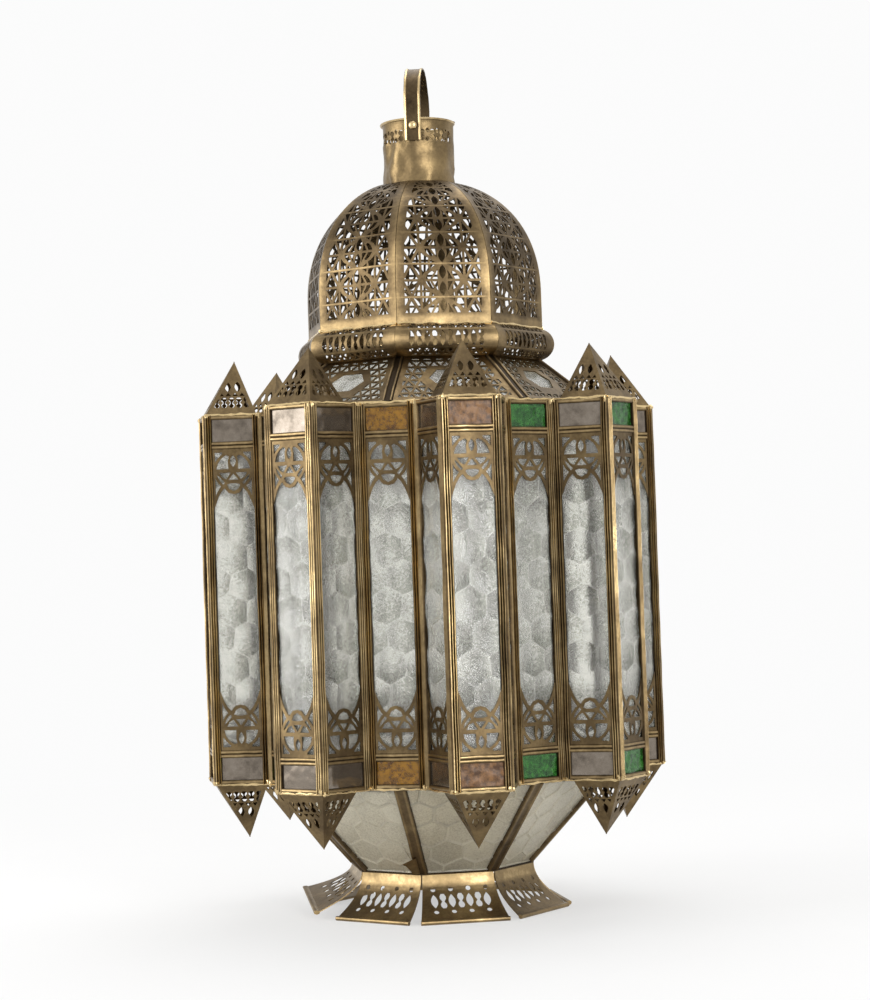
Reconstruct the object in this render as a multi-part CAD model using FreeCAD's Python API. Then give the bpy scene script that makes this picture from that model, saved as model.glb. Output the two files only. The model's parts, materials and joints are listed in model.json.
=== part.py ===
"""Eight-turret hanging candle lantern in pierced brass sheet and pressed glass.

Z is up and the origin is the centre of the ground plane under the foot.
Turret 1 faces -Y and the turrets are numbered with rising azimuth, towards +X.
"""
import FreeCAD, Part
import math
import os

# Plan of the body
SIDES = 8
TURRET_FACE_RADIUS = 184.0
PANEL_PITCH = 44.0

# Heights of the stacked stages, from the ground up
FOOT_HEIGHT = 35.0
FLOOR_PLATE_THICKNESS = 1.5
TAPER_HEIGHT = 71.8
EAVE_THICKNESS = 1.0
BODY_HEIGHT = 293.0
ROOF_HEIGHT = 38.0
BEAD_HEIGHT = 24.6
DOME_HEIGHT = 123.0
COLLAR_HEIGHT = 51.5

# Sheet and glass
SHEET = 0.8
GLASS = 3.0

# Body panels: ridged stiles, rails, panes and spandrel fretwork
FRAME_DEPTH = 4.2
STILE_WIDTH = 5.7
STILE_RIDGE = 0.8
END_RAIL_HEIGHT = 3.5
SMALL_PANE_HEIGHT = 17.5
MIDDLE_RAIL_HEIGHT = 6.0
PANE_SETBACK = 1.0
SPANDREL_CROWN_DROP = 34.0
SPANDREL_TIP_DROP = 48.0
SPANDREL_SHOULDER_INSET = 5.0
ROSETTE_HALF_WIDTH = 9.0
ROSETTE_TOP_DROP = 8.0
ROSETTE_BASE_DROP = 24.0

# Roof and taper
EAVE_WIDTH = 14.0
EAVE_JOINT_GAP = 0.2
SLOPE_SETBACK = 3.5
RIB_WIDTH = 8.0
RIB_DEPTH = 4.0
RIB_PROUD = 1.2
ROOF_WINDOW_LENGTH = 34.0
ROOF_WINDOW_HEIGHT = 26.0
NECK_RADIUS = 76.0

# Bead round the foot of the dome
BEAD_LAP_ANGLE = 20.0
BEAD_FACE_ANGLE = 24.0
BEAD_HOLE_COUNT = 3
BEAD_HOLE_WIDTH = 7.0
BEAD_HOLE_HEIGHT = 8.0
BEAD_HOLE_PITCH = 20.0

# Dome of eight pierced gores
DOME_APOTHEM = 90.8
DOME_WALL_HEIGHT = 30.0
DOME_CURVE_POWER = 2.2
DOME_LANDING_APOTHEM = 32.0
DOME_MOUTH_APOTHEM = 26.0
DOME_WALL_ROWS = 1
DOME_CURVE_ROWS = 5
GORE_BORDER = 7.0
GORE_HOLE_COLUMNS = 2
GORE_WEB = 5.0

# Neck collar, rivets and hanging loop
COLLAR_RADIUS = 29.0
COLLAR_RIM_FLARE = 1.5
COLLAR_RIM_HEIGHT = 3.0
COLLAR_SIDES = 12
COLLAR_HOLE_WIDTH = 6.0
COLLAR_HOLE_HEIGHT = 8.0
COLLAR_HOLE_DROP = 16.0
LOOP_AZIMUTH = -17.0
LOOP_WIDTH = 13.4
LOOP_THICKNESS = 1.4
LOOP_REACH = 45.5
LOOP_TAIL = 12.0
RIVET_DROP = 6.5
RIVET_RADIUS = 2.0
RIVET_HEAD_RADIUS = 3.2
RIVET_HEAD_HEIGHT = 1.5

# Turret caps and pendants
CAP_HEIGHT = 45.0
CAP_APEX_SETBACK = 28.0
CAP_FLANGE = 1.0
CAP_BORDER = 3.0
CAP_TIP_THICKNESS = 1.6
CAP_FACE_REACH = 2.4
CAP_HOLE_RISE_SHARE = 0.36
CAP_HOLE_SIZE_SHARE = 0.42

# Foot petals
FOOT_SPREAD = 97.0
PETAL_TOP_GAP = 0.6
PETAL_TIP_GAP = 5.2
PETAL_CURVE_STEPS = 3
PETAL_BEND_POWER = 2.0
PETAL_HEM_RADIUS = 1.8
HEM_SIDES = 6
PETAL_HOLE_COUNT = 3
PETAL_HOLE_WIDTH = 7.0
PETAL_HOLE_HEIGHT = 11.0
PETAL_HOLE_PITCH = 15.0
PETAL_HOLE_RISE = 19.0

# Candle cup on the floor plate
CUP_BORE_RADIUS = 11.2
CUP_WALL = 1.2
CUP_DEPTH = 20.0
CUP_PAN_RADIUS = 30.0
CUP_PAN_THICKNESS = 2.0

# Door in the bay behind, on two pin hinges
DOOR_BAY = 4
DOOR_HINGE_GAP = 0.4
DOOR_FREE_GAP = 1.2
DOOR_END_GAP = 0.5
HINGE_INSET = 62.0
KNUCKLE_COUNT = 2
KNUCKLE_LENGTH = 8.0
KNUCKLE_RADIUS = 2.2
KNUCKLE_GAP = 0.2
HINGE_STANDOFF = 3.2
LEAF_WIDTH = 4.0
LEAF_THICKNESS = 1.0
PIN_RADIUS = 1.0
RUNNING_CLEARANCE = 0.05
PULL_WIDTH = 12.0
PULL_FOOT = 4.0
PULL_REACH = 8.0

# Loose clearance between curved pieces
CURVED_CLEARANCE = 0.4

# Glass of the small panes: fronts by turret, bays in turn
TURRET_FRONT_PANES = ["rose", "green", "mirror", "amber", "rose", "green", "amber", "mirror"]
TURRET_SIDE_PANES = "mirror"
BAY_PANES = ["green", "amber"]

# Worked-out plan values
SECTOR = 360.0 / SIDES
HALF_SECTOR = math.radians(SECTOR / 2)
CORNER_FACTOR = 1 / math.cos(HALF_SECTOR)
HALF_PANEL = PANEL_PITCH / 2
FLARE_SINE = TURRET_FACE_RADIUS / PANEL_PITCH * math.sin(HALF_SECTOR) - (1 + math.cos(HALF_SECTOR)) / 2
SIDE_FLARE = math.asin(FLARE_SINE) - HALF_SECTOR
TURRET_BACK_RADIUS = TURRET_FACE_RADIUS - PANEL_PITCH * math.cos(SIDE_FLARE)
TURRET_BACK_HALF = HALF_PANEL + PANEL_PITCH * math.sin(SIDE_FLARE)
BAY_RADIUS = TURRET_BACK_RADIUS * math.cos(HALF_SECTOR) + TURRET_BACK_HALF * math.sin(HALF_SECTOR)
OUTER_MITRE = (math.pi / 2 - SIDE_FLARE) / 2
INNER_MITRE = HALF_SECTOR / 2 - OUTER_MITRE
SIDE_TURN = math.degrees(math.pi / 2 - SIDE_FLARE)

# Worked-out levels
FLOOR_TOP = FOOT_HEIGHT + FLOOR_PLATE_THICKNESS
TAPER_TOP = FLOOR_TOP + TAPER_HEIGHT
BODY_BOTTOM = TAPER_TOP + EAVE_THICKNESS
BODY_TOP = BODY_BOTTOM + BODY_HEIGHT
ROOF_BOTTOM = BODY_TOP + EAVE_THICKNESS
ROOF_TOP = ROOF_BOTTOM + ROOF_HEIGHT
DOME_BOTTOM = ROOF_TOP + BEAD_HEIGHT
DOME_TOP = DOME_BOTTOM + DOME_HEIGHT
COLLAR_TOP = DOME_TOP + COLLAR_HEIGHT
RIVET_LEVEL = COLLAR_TOP - RIVET_DROP

# Worked-out radii shared by neighbouring pieces
SLOPE_APOTHEM = (BAY_RADIUS - SLOPE_SETBACK) / CORNER_FACTOR
NECK_APOTHEM = NECK_RADIUS / CORNER_FACTOR
BEAD_RADIUS = BEAD_HEIGHT / 2 / math.cos(math.radians(BEAD_LAP_ANGLE))
BEAD_APOTHEM = DOME_APOTHEM - BEAD_RADIUS * math.sin(math.radians(BEAD_LAP_ANGLE))
BEAD_LEVEL = ROOF_TOP + BEAD_HEIGHT / 2
ROOF_TOP_APOTHEM = BEAD_APOTHEM + SHEET
LOOP_INNER = COLLAR_RADIUS + COLLAR_RIM_FLARE + CURVED_CLEARANCE

UP = FreeCAD.Vector(0, 0, 1)
ORIGIN = FreeCAD.Vector(0, 0, 0)


def face(points):
    """Flat face through a closed ring of points."""
    vectors = [FreeCAD.Vector(*point) for point in points]
    return Part.Face(Part.makePolygon(vectors + vectors[:1]))


def upright_prism(outline, bottom, top):
    """Solid with a plan outline, between two levels."""
    return face([(x, y, bottom) for x, y in outline]).extrude(UP * (top - bottom))


def block(low, high):
    """Box between two corners."""
    size = [b - a for a, b in zip(low, high)]
    return Part.makeBox(*size, FreeCAD.Vector(*low))


def turned(shape, azimuth):
    """Copy of a shape, turned about the lantern's axis."""
    copy = shape.copy()
    copy.rotate(ORIGIN, UP, azimuth)
    return copy


def ring_of(shape):
    """One copy of a shape for each side of the lantern."""
    return [turned(shape, SECTOR * index) for index in range(SIDES)]


def wedge(section, half_width):
    """Solid with a section in apothem and level, cut to a half width that varies with apothem."""
    left = [(-half_width(apothem), -apothem, level) for apothem, level in section]
    right = [(half_width(apothem), -apothem, level) for apothem, level in section]
    count = len(section)
    sides = [face(left), face(right)]
    for index in range(count):
        following = (index + 1) % count
        sides.append(face([left[index], right[index], right[following], left[following]]))
    solid = Part.Solid(Part.Shell(sides))
    if solid.Volume < 0:
        solid.reverse()
    return solid


def mitred(gap=0.0):
    """Half width that meets the neighbour at the octagon's corner, less a gap."""
    return lambda apothem: apothem * math.tan(HALF_SECTOR) - gap * CORNER_FACTOR


def sheet_section(line, thickness):
    """Closed section of a sheet whose outer side follows a line of apothem and level."""
    inner = []
    for index, point in enumerate(line):
        before = line[max(index - 1, 0)]
        after = line[min(index + 1, len(line) - 1)]
        run = (after[0] - before[0], after[1] - before[1])
        length = math.hypot(*run)
        inner.append((point[0] - run[1] / length * thickness, point[1] + run[0] / length * thickness))
    return line + inner[::-1]


def slope_section(bottom, top, outer, inner):
    """Section of a sloping plate cut level at both ends, between two offsets from its slope."""
    run = top[0] - bottom[0]
    rise = top[1] - bottom[1]
    stretch = math.hypot(run, rise) / rise
    return [
        (bottom[0] + outer * stretch, bottom[1]),
        (top[0] + outer * stretch, top[1]),
        (top[0] - inner * stretch, top[1]),
        (bottom[0] - inner * stretch, bottom[1]),
    ]


def facet_cutter(outline, lower, upper, reach):
    """Prism through a sloping facet, from an outline across the facet and up its slope."""
    rise = (upper[0] - lower[0], upper[1] - lower[1])
    length = math.hypot(*rise)
    along = (rise[0] / length, rise[1] / length)
    out = FreeCAD.Vector(0, -along[1], -along[0])
    points = []
    for across, up in outline:
        apothem = lower[0] + along[0] * up
        level = lower[1] + along[1] * up
        points.append((across, -apothem, level))
    cutter = face(points)
    cutter.translate(out * -reach)
    return cutter.extrude(out * (2 * reach))


def lens(across, up, width, height):
    """Pointed lens outline of four points."""
    return [(across, up - height / 2), (across + width / 2, up), (across, up + height / 2), (across - width / 2, up)]


# Body panels

def stile(edge, inner_edge, back_edge, bottom, top):
    """Ridged channel along one side of a panel, with its back mitred against the next panel."""
    section = [
        (edge, 0.0),
        ((edge + inner_edge) / 2, -STILE_RIDGE),
        (inner_edge, 0.0),
        (inner_edge, FRAME_DEPTH),
        (back_edge, FRAME_DEPTH),
    ]
    return upright_prism(section, bottom, top)


def panel_levels(bottom, top):
    """Levels of the rails of a panel: end rail, small pane and middle rail at each end."""
    steps = [0.0, END_RAIL_HEIGHT, SMALL_PANE_HEIGHT, MIDDLE_RAIL_HEIGHT]
    rising = [bottom + sum(steps[:count]) for count in range(1, len(steps) + 1)]
    falling = [top - sum(steps[:count]) for count in range(len(steps), 0, -1)]
    return rising + falling


def spandrel(left, right, edge_level, direction):
    """Pierced arch plate that hangs from a middle rail, or stands on one when direction is up."""
    middle = (left + right) / 2
    front = PANE_SETBACK - SHEET

    def ring(outline):
        return face([(x, front, edge_level + direction * drop) for x, drop in outline])

    plate = ring([
        (left, 0.0),
        (right, 0.0),
        (right, SPANDREL_TIP_DROP),
        (right - SPANDREL_SHOULDER_INSET, SPANDREL_CROWN_DROP),
        (left + SPANDREL_SHOULDER_INSET, SPANDREL_CROWN_DROP),
        (left, SPANDREL_TIP_DROP),
    ])
    rosette = ring([
        (middle, ROSETTE_TOP_DROP),
        (middle + ROSETTE_HALF_WIDTH, ROSETTE_BASE_DROP),
        (middle - ROSETTE_HALF_WIDTH, ROSETTE_BASE_DROP),
    ])
    through = FreeCAD.Vector(0, SHEET, 0)
    return plate.cut(rosette).Faces[0].extrude(through)


def panel(left_edge, right_edge, left_back, right_back, bottom, top):
    """One framed panel, seen from outside: X to the right, Y inwards, Z up."""
    left = left_edge + STILE_WIDTH
    right = right_edge - STILE_WIDTH
    levels = panel_levels(bottom, top)
    pane_back = PANE_SETBACK + GLASS

    def rail(low, high):
        return block((left, 0.0, low), (right, FRAME_DEPTH, high))

    def pane(low, high):
        return block((left, PANE_SETBACK, low), (right, pane_back, high))

    return {
        "frame": [
            stile(left_edge, left, left_back, bottom, top),
            stile(right_edge, right, right_back, bottom, top),
            rail(levels[0], levels[1]),
            rail(levels[2], levels[3]),
            rail(levels[4], levels[5]),
            rail(levels[6], levels[7]),
        ],
        "small": [pane(levels[1], levels[2]), pane(levels[5], levels[6])],
        "long": [pane(levels[3], levels[4])],
        "fretwork": [
            spandrel(left, right, levels[4], -1),
            spandrel(left, right, levels[3], 1),
        ],
    }


def fixed_panel(left_mitre, right_mitre):
    """Panel whose two stiles are mitred into its neighbours."""
    left_back = FRAME_DEPTH * math.tan(left_mitre)
    right_back = PANEL_PITCH - FRAME_DEPTH * math.tan(right_mitre)
    return panel(0.0, PANEL_PITCH, left_back, right_back, BODY_BOTTOM, BODY_TOP)


def placed(shape, corner, turn, azimuth):
    """Copy of a panel's piece, set at a corner of the plan and turned to its side."""
    copy = shape.copy()
    copy.rotate(ORIGIN, UP, turn)
    copy.translate(FreeCAD.Vector(corner[0], corner[1], 0))
    copy.rotate(ORIGIN, UP, azimuth)
    return copy


TURRET_PANELS = [
    ("side", (-TURRET_BACK_HALF, -TURRET_BACK_RADIUS), -SIDE_TURN, (INNER_MITRE, OUTER_MITRE)),
    ("front", (-HALF_PANEL, -TURRET_FACE_RADIUS), 0.0, (OUTER_MITRE, OUTER_MITRE)),
    ("side", (HALF_PANEL, -TURRET_FACE_RADIUS), SIDE_TURN, (OUTER_MITRE, INNER_MITRE)),
]
BAY_CORNER = (TURRET_BACK_HALF, -TURRET_BACK_RADIUS)
BAY_TURN = SECTOR / 2


def build_body():
    """All fixed panels, sorted into frames by turret and panes by glass."""
    nodes = {"bay_frames": [], "long_panes": [], "spandrel_fretwork": []}
    for colour in ("mirror", "amber", "green", "rose"):
        nodes[colour + "_panes"] = []
    turret_pieces = [fixed_panel(*entry[3]) for entry in TURRET_PANELS]
    bay_pieces = fixed_panel(INNER_MITRE, INNER_MITRE)

    def add(pieces, frame_node, colour, corner, turn, azimuth):
        targets = {"frame": frame_node, "small": colour + "_panes"}
        targets["long"] = "long_panes"
        targets["fretwork"] = "spandrel_fretwork"
        for kind, target in targets.items():
            solids = nodes.setdefault(target, [])
            solids.extend(placed(shape, corner, turn, azimuth) for shape in pieces[kind])

    for index in range(SIDES):
        azimuth = SECTOR * index
        for (side, corner, turn, _), pieces in zip(TURRET_PANELS, turret_pieces):
            front_colour = TURRET_FRONT_PANES[index % len(TURRET_FRONT_PANES)]
            colour = front_colour if side == "front" else TURRET_SIDE_PANES
            add(pieces, "turret_frame_%d" % (index + 1), colour, corner, turn, azimuth)
        if index + 1 != DOOR_BAY:
            colour = BAY_PANES[index % len(BAY_PANES)]
            add(bay_pieces, "bay_frames", colour, BAY_CORNER, BAY_TURN, azimuth)
    return nodes


# Door and its hinges

def hinge_axis():
    """Plan point of the hinge pin, on the line that halves the corner between door and turret."""
    halving = math.pi / 2 + INNER_MITRE
    distance = HINGE_STANDOFF / math.sin(halving)
    return distance * math.cos(halving), -distance * math.sin(halving)


def knuckle(bottom, length):
    """Rolled hinge knuckle with its leaf, on the door's side of the pin."""
    x, y = hinge_axis()
    at = FreeCAD.Vector(x, y, bottom)
    barrel = Part.makeCylinder(KNUCKLE_RADIUS, length, at)
    leaf_back = -STILE_RIDGE
    leaf = block((x, leaf_back - LEAF_THICKNESS, bottom), (x + LEAF_WIDTH, leaf_back, bottom + length))
    bore = Part.makeCylinder(PIN_RADIUS + RUNNING_CLEARANCE, length, at)
    return barrel.fuse(leaf).cut(bore).removeSplitter()


def build_door():
    """Hinged bay panel, its hinges and its pull."""
    bottom = BODY_BOTTOM + DOOR_END_GAP
    top = BODY_TOP - DOOR_END_GAP
    left = DOOR_HINGE_GAP
    right = PANEL_PITCH - DOOR_FREE_GAP
    pieces = panel(left, right, left, right, bottom, top)
    halving = math.pi / 2 + INNER_MITRE
    mirror_normal = FreeCAD.Vector(math.sin(halving), math.cos(halving), 0)
    x, y = hinge_axis()
    door_knuckles = []
    post_knuckles = []
    pins = []
    hinge_length = KNUCKLE_COUNT * KNUCKLE_LENGTH + (KNUCKLE_COUNT - 1) * KNUCKLE_GAP
    for start in (bottom + HINGE_INSET, top - HINGE_INSET - hinge_length):
        for index in range(KNUCKLE_COUNT):
            solid = knuckle(start + index * (KNUCKLE_LENGTH + KNUCKLE_GAP), KNUCKLE_LENGTH)
            if index % 2:
                door_knuckles.append(solid)
            else:
                post_knuckles.append(solid.mirror(ORIGIN, mirror_normal))
        pins.append(Part.makeCylinder(PIN_RADIUS, hinge_length, FreeCAD.Vector(x, y, start)))
    ridge = right - STILE_WIDTH / 2
    pull_foot = (bottom + top - PULL_WIDTH) / 2
    tab = [
        (ridge, -STILE_RIDGE),
        (ridge - PULL_FOOT, -STILE_RIDGE),
        (ridge - PULL_FOOT, -STILE_RIDGE - SHEET),
        (ridge - SHEET, -STILE_RIDGE - SHEET),
        (ridge - SHEET, -STILE_RIDGE - PULL_REACH),
        (ridge, -STILE_RIDGE - PULL_REACH),
    ]
    pull = upright_prism(tab, pull_foot, pull_foot + PULL_WIDTH)

    def in_bay(shapes):
        azimuth = SECTOR * (DOOR_BAY - 1)
        return [placed(shape, BAY_CORNER, BAY_TURN, azimuth) for shape in shapes]

    return {
        "door_frame": in_bay(pieces["frame"] + door_knuckles),
        "door_glass": in_bay(pieces["long"]),
        "door_small_panes": in_bay(pieces["small"]),
        "door_fretwork": in_bay(pieces["fretwork"]),
        "door_pull": in_bay([pull]),
        "hinge_knuckles": in_bay(post_knuckles),
        "hinge_pins": in_bay(pins),
    }


# Roof, taper and the eaves that carry them

def eave(bottom):
    """Flat strip from bay to bay, behind one turret."""
    back = BAY_RADIUS * math.cos(HALF_SECTOR)
    inner = back - EAVE_WIDTH
    half_width = mitred(EAVE_JOINT_GAP / 2)
    across = half_width(back)
    inner_half = half_width(inner)
    outline = [
        (-across, -back),
        (-TURRET_BACK_HALF, -TURRET_BACK_RADIUS),
        (TURRET_BACK_HALF, -TURRET_BACK_RADIUS),
        (across, -back),
        (inner_half, -inner),
        (-inner_half, -inner),
    ]
    return upright_prism(outline, bottom, bottom + EAVE_THICKNESS)


def rib(bottom, top):
    """Straight channel along a corner of the octagon, given the apothems of its two ends."""
    low = (bottom[0] * CORNER_FACTOR, bottom[1])
    high = (top[0] * CORNER_FACTOR, top[1])
    section = slope_section(low, high, RIB_PROUD, RIB_DEPTH)
    return turned(wedge(section, lambda radius: RIB_WIDTH / 2), SECTOR / 2)


def build_roof():
    """Sloping roof of glass under pierced plates, between ribs."""
    bottom = (SLOPE_APOTHEM, ROOF_BOTTOM)
    top = (ROOF_TOP_APOTHEM, ROOF_TOP)
    edge = mitred(RIB_WIDTH / 2)
    pane = wedge(slope_section(bottom, top, -SHEET, GLASS + SHEET), edge)
    plate = wedge(slope_section(bottom, top, 0.0, SHEET), edge)
    middle = math.dist(bottom, top) / 2
    half_length = ROOF_WINDOW_LENGTH / 2
    half_height = ROOF_WINDOW_HEIGHT / 2
    window = [
        (-half_length, middle),
        (-half_length / 2, middle - half_height),
        (half_length / 2, middle - half_height),
        (half_length, middle),
        (half_length / 2, middle + half_height),
        (-half_length / 2, middle + half_height),
    ]
    plate = plate.cut(facet_cutter(window, bottom, top, RIB_DEPTH))
    return {
        "roof_ribs": ring_of(rib(bottom, top)),
        "roof_panes": ring_of(pane),
        "roof_fretwork": ring_of(plate),
    }


def build_taper():
    """Glass taper under the body, narrowing to the floor plate."""
    bottom = (NECK_APOTHEM - RIB_PROUD * CORNER_FACTOR, FLOOR_TOP)
    top = (SLOPE_APOTHEM, TAPER_TOP)
    pane = wedge(slope_section(bottom, top, 0.0, GLASS), mitred(RIB_WIDTH / 2))
    return {
        "taper_ribs": ring_of(rib(bottom, top)),
        "taper_panes": ring_of(pane),
    }


# Bead and dome

def build_bead():
    """Half-round pierced bead, one length to each side of the dome."""
    angles = [90 + BEAD_LAP_ANGLE, 90 - BEAD_LAP_ANGLE, BEAD_FACE_ANGLE]
    angles += [-angle for angle in reversed(angles)]

    def arc(radius):
        spots = []
        for angle in angles:
            turn = math.radians(angle)
            spots.append((BEAD_APOTHEM + radius * math.cos(turn), BEAD_LEVEL + radius * math.sin(turn)))
        return spots

    section = arc(BEAD_RADIUS) + arc(BEAD_RADIUS - SHEET)[::-1]
    bead = wedge(section, mitred())
    low = (BEAD_APOTHEM + BEAD_RADIUS, BEAD_LEVEL)
    high = (BEAD_APOTHEM + BEAD_RADIUS, BEAD_LEVEL + BEAD_RADIUS)
    holes = []
    for index in range(BEAD_HOLE_COUNT):
        across = (index - (BEAD_HOLE_COUNT - 1) / 2) * BEAD_HOLE_PITCH
        outline = lens(across, 0.0, BEAD_HOLE_WIDTH, BEAD_HOLE_HEIGHT)
        holes.append(facet_cutter(outline, low, high, BEAD_RADIUS / 2))
    return {"ring_bead": ring_of(bead.cut(holes))}


def dome_line():
    """Outer line of a gore in apothem and level: upright wall, then a squared quarter ellipse."""
    power = DOME_CURVE_POWER
    rise = DOME_HEIGHT - DOME_WALL_HEIGHT
    reach = (1 - (DOME_LANDING_APOTHEM / DOME_APOTHEM) ** power) ** (1 / power)
    last = math.atan2(reach ** (power / 2), (DOME_LANDING_APOTHEM / DOME_APOTHEM) ** (power / 2))
    start = DOME_BOTTOM + DOME_WALL_HEIGHT
    line = []
    for row in range(DOME_WALL_ROWS):
        line.append((DOME_APOTHEM, DOME_BOTTOM + DOME_WALL_HEIGHT * row / DOME_WALL_ROWS))
    for row in range(DOME_CURVE_ROWS + 1):
        turn = last * row / DOME_CURVE_ROWS
        apothem = DOME_APOTHEM * math.cos(turn) ** (2 / power)
        line.append((apothem, start + rise / reach * math.sin(turn) ** (2 / power)))
    return line


def build_dome():
    """Eight pierced gores bent to the dome's line, each with a flat landing for the collar."""
    line = dome_line()
    landing = [(DOME_MOUTH_APOTHEM, DOME_TOP)]
    gore = wedge(sheet_section(line + landing, SHEET), mitred())
    holes = []
    for row, (lower, upper) in enumerate(zip(line, line[1:])):
        height = math.dist(lower, upper)
        half_field = upper[0] * math.tan(HALF_SECTOR) - GORE_BORDER
        column = 2 * half_field / GORE_HOLE_COLUMNS
        columns = GORE_HOLE_COLUMNS - row % 2
        for index in range(columns):
            across = (index - (columns - 1) / 2) * column
            outline = lens(across, height / 2, column - GORE_WEB / 2, height - GORE_WEB)
            holes.append(facet_cutter(outline, lower, upper, 2 * SHEET))
    pierced = gore.cut(holes)
    nodes = {}
    for index, copy in enumerate(ring_of(pierced)):
        nodes["dome_gore_%d" % (index + 1)] = [copy]
    return nodes


# Collar and hanging loop

def revolved(section):
    """Solid of revolution about the lantern's axis, from radius and level."""
    return face([(radius, 0.0, level) for radius, level in section]).revolve(ORIGIN, UP, 360)


def faceted(section):
    """Tube with flat sides round the lantern's axis, one of them facing -Y, from radius and level at its corners."""
    step = 2 * math.pi / COLLAR_SIDES
    rings = []
    for index in range(COLLAR_SIDES):
        turn = step * (index + 0.5)
        rings.append([(r * math.sin(turn), -r * math.cos(turn), level) for r, level in section])
    sides = []
    for ring, other in zip(rings, rings[1:] + rings[:1]):
        for index in range(len(section)):
            before = index - 1
            sides.append(face([ring[before], ring[index], other[index], other[before]]))
    solid = Part.Solid(Part.Shell(sides))
    if solid.Volume < 0:
        solid.reverse()
    return solid


def along_loop(shape):
    """Shape modelled with the rivet axis along -Y, turned to the loop's azimuth."""
    return turned(shape, LOOP_AZIMUTH)


def build_collar():
    """Hand-bent chimney collar with a flared rim and a pierced band under it."""
    inner = COLLAR_RADIUS - SHEET
    flare_level = COLLAR_TOP - COLLAR_RIM_HEIGHT
    collar = faceted([
        (inner, DOME_TOP),
        (COLLAR_RADIUS, DOME_TOP),
        (COLLAR_RADIUS, flare_level),
        (COLLAR_RADIUS + COLLAR_RIM_FLARE, COLLAR_TOP),
        (inner + COLLAR_RIM_FLARE, COLLAR_TOP),
        (inner, flare_level),
    ])
    level = COLLAR_TOP - COLLAR_HOLE_DROP
    hole_face = face([
        (across, 0.0, up)
        for across, up in lens(0.0, level, COLLAR_HOLE_WIDTH, COLLAR_HOLE_HEIGHT)
    ])
    hole = hole_face.extrude(FreeCAD.Vector(0, -2 * COLLAR_RADIUS, 0))
    step = 360.0 / COLLAR_SIDES
    cuts = [turned(hole, step * index) for index in range(COLLAR_SIDES)]
    return {"neck_collar": [along_loop(collar.cut(cuts + [rivet_bore()]))]}


def rivet_bore():
    """Bore for both rivets, right through the collar and the loop."""
    reach = LOOP_INNER + LOOP_THICKNESS + RIVET_HEAD_HEIGHT
    start = FreeCAD.Vector(0, -reach, RIVET_LEVEL)
    return Part.makeCylinder(RIVET_RADIUS + RUNNING_CLEARANCE, 2 * reach, start, FreeCAD.Vector(0, 1, 0))


def build_loop():
    """Strap loop riveted to the outside of the collar, with its two rivets."""
    outer = LOOP_INNER + LOOP_THICKNESS
    spring = COLLAR_TOP + LOOP_REACH - outer
    tail = RIVET_LEVEL - LOOP_TAIL

    def arch(radius):
        start = FreeCAD.Vector(0, -radius, spring)
        crown = FreeCAD.Vector(0, 0, spring + radius)
        end = FreeCAD.Vector(0, radius, spring)
        corners = [FreeCAD.Vector(0, radius, tail), FreeCAD.Vector(0, -radius, tail)]
        edges = [Part.Arc(start, crown, end).toShape()]
        path = [end] + corners + [start]
        edges += [Part.makeLine(a, b) for a, b in zip(path, path[1:])]
        return Part.Face(Part.Wire(edges))

    strap = arch(outer).cut(arch(LOOP_INNER)).extrude(FreeCAD.Vector(LOOP_WIDTH, 0, 0))
    strap.translate(FreeCAD.Vector(-LOOP_WIDTH / 2, 0, 0))
    strap = strap.cut(rivet_bore())
    strap = strap.Solids[0]

    inner_end = (COLLAR_RADIUS - SHEET) * math.cos(math.pi / COLLAR_SIDES)
    head = outer + RUNNING_CLEARANCE
    profile = [
        (0.0, inner_end - RIVET_HEAD_HEIGHT),
        (RIVET_HEAD_RADIUS, inner_end),
        (RIVET_RADIUS, inner_end),
        (RIVET_RADIUS, head),
        (RIVET_HEAD_RADIUS, head),
        (0.0, head + RIVET_HEAD_HEIGHT),
    ]
    rivet = revolved(profile)
    rivet.rotate(ORIGIN, FreeCAD.Vector(1, 0, 0), 90)
    rivet.translate(UP * RIVET_LEVEL)
    return {
        "hanging_loop": [along_loop(strap)],
        "loop_rivets": [along_loop(rivet), along_loop(turned(rivet, 180))],
    }


# Turret caps and pendants

def turret_outline():
    """Plan of a turret, from front left round to back left."""
    return [
        (-HALF_PANEL, -TURRET_FACE_RADIUS),
        (HALF_PANEL, -TURRET_FACE_RADIUS),
        (TURRET_BACK_HALF, -TURRET_BACK_RADIUS),
        (-TURRET_BACK_HALF, -TURRET_BACK_RADIUS),
    ]


def pyramid(outline, base, apex):
    """Pyramid on a plan outline."""
    ring = [FreeCAD.Vector(x, y, base) for x, y in outline]
    tip = FreeCAD.Vector(*apex)
    sides = [Part.Face(Part.makePolygon(ring + ring[:1]))]
    for first, second in zip(ring, ring[1:] + ring[:1]):
        sides.append(Part.Face(Part.makePolygon([first, second, tip, first])))
    solid = Part.Solid(Part.Shell(sides))
    if solid.Volume < 0:
        solid.reverse()
    return solid


def towards(point, target, share):
    """Point a share of the way towards a target."""
    return tuple(a + (b - a) * share for a, b in zip(point, target))


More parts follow.
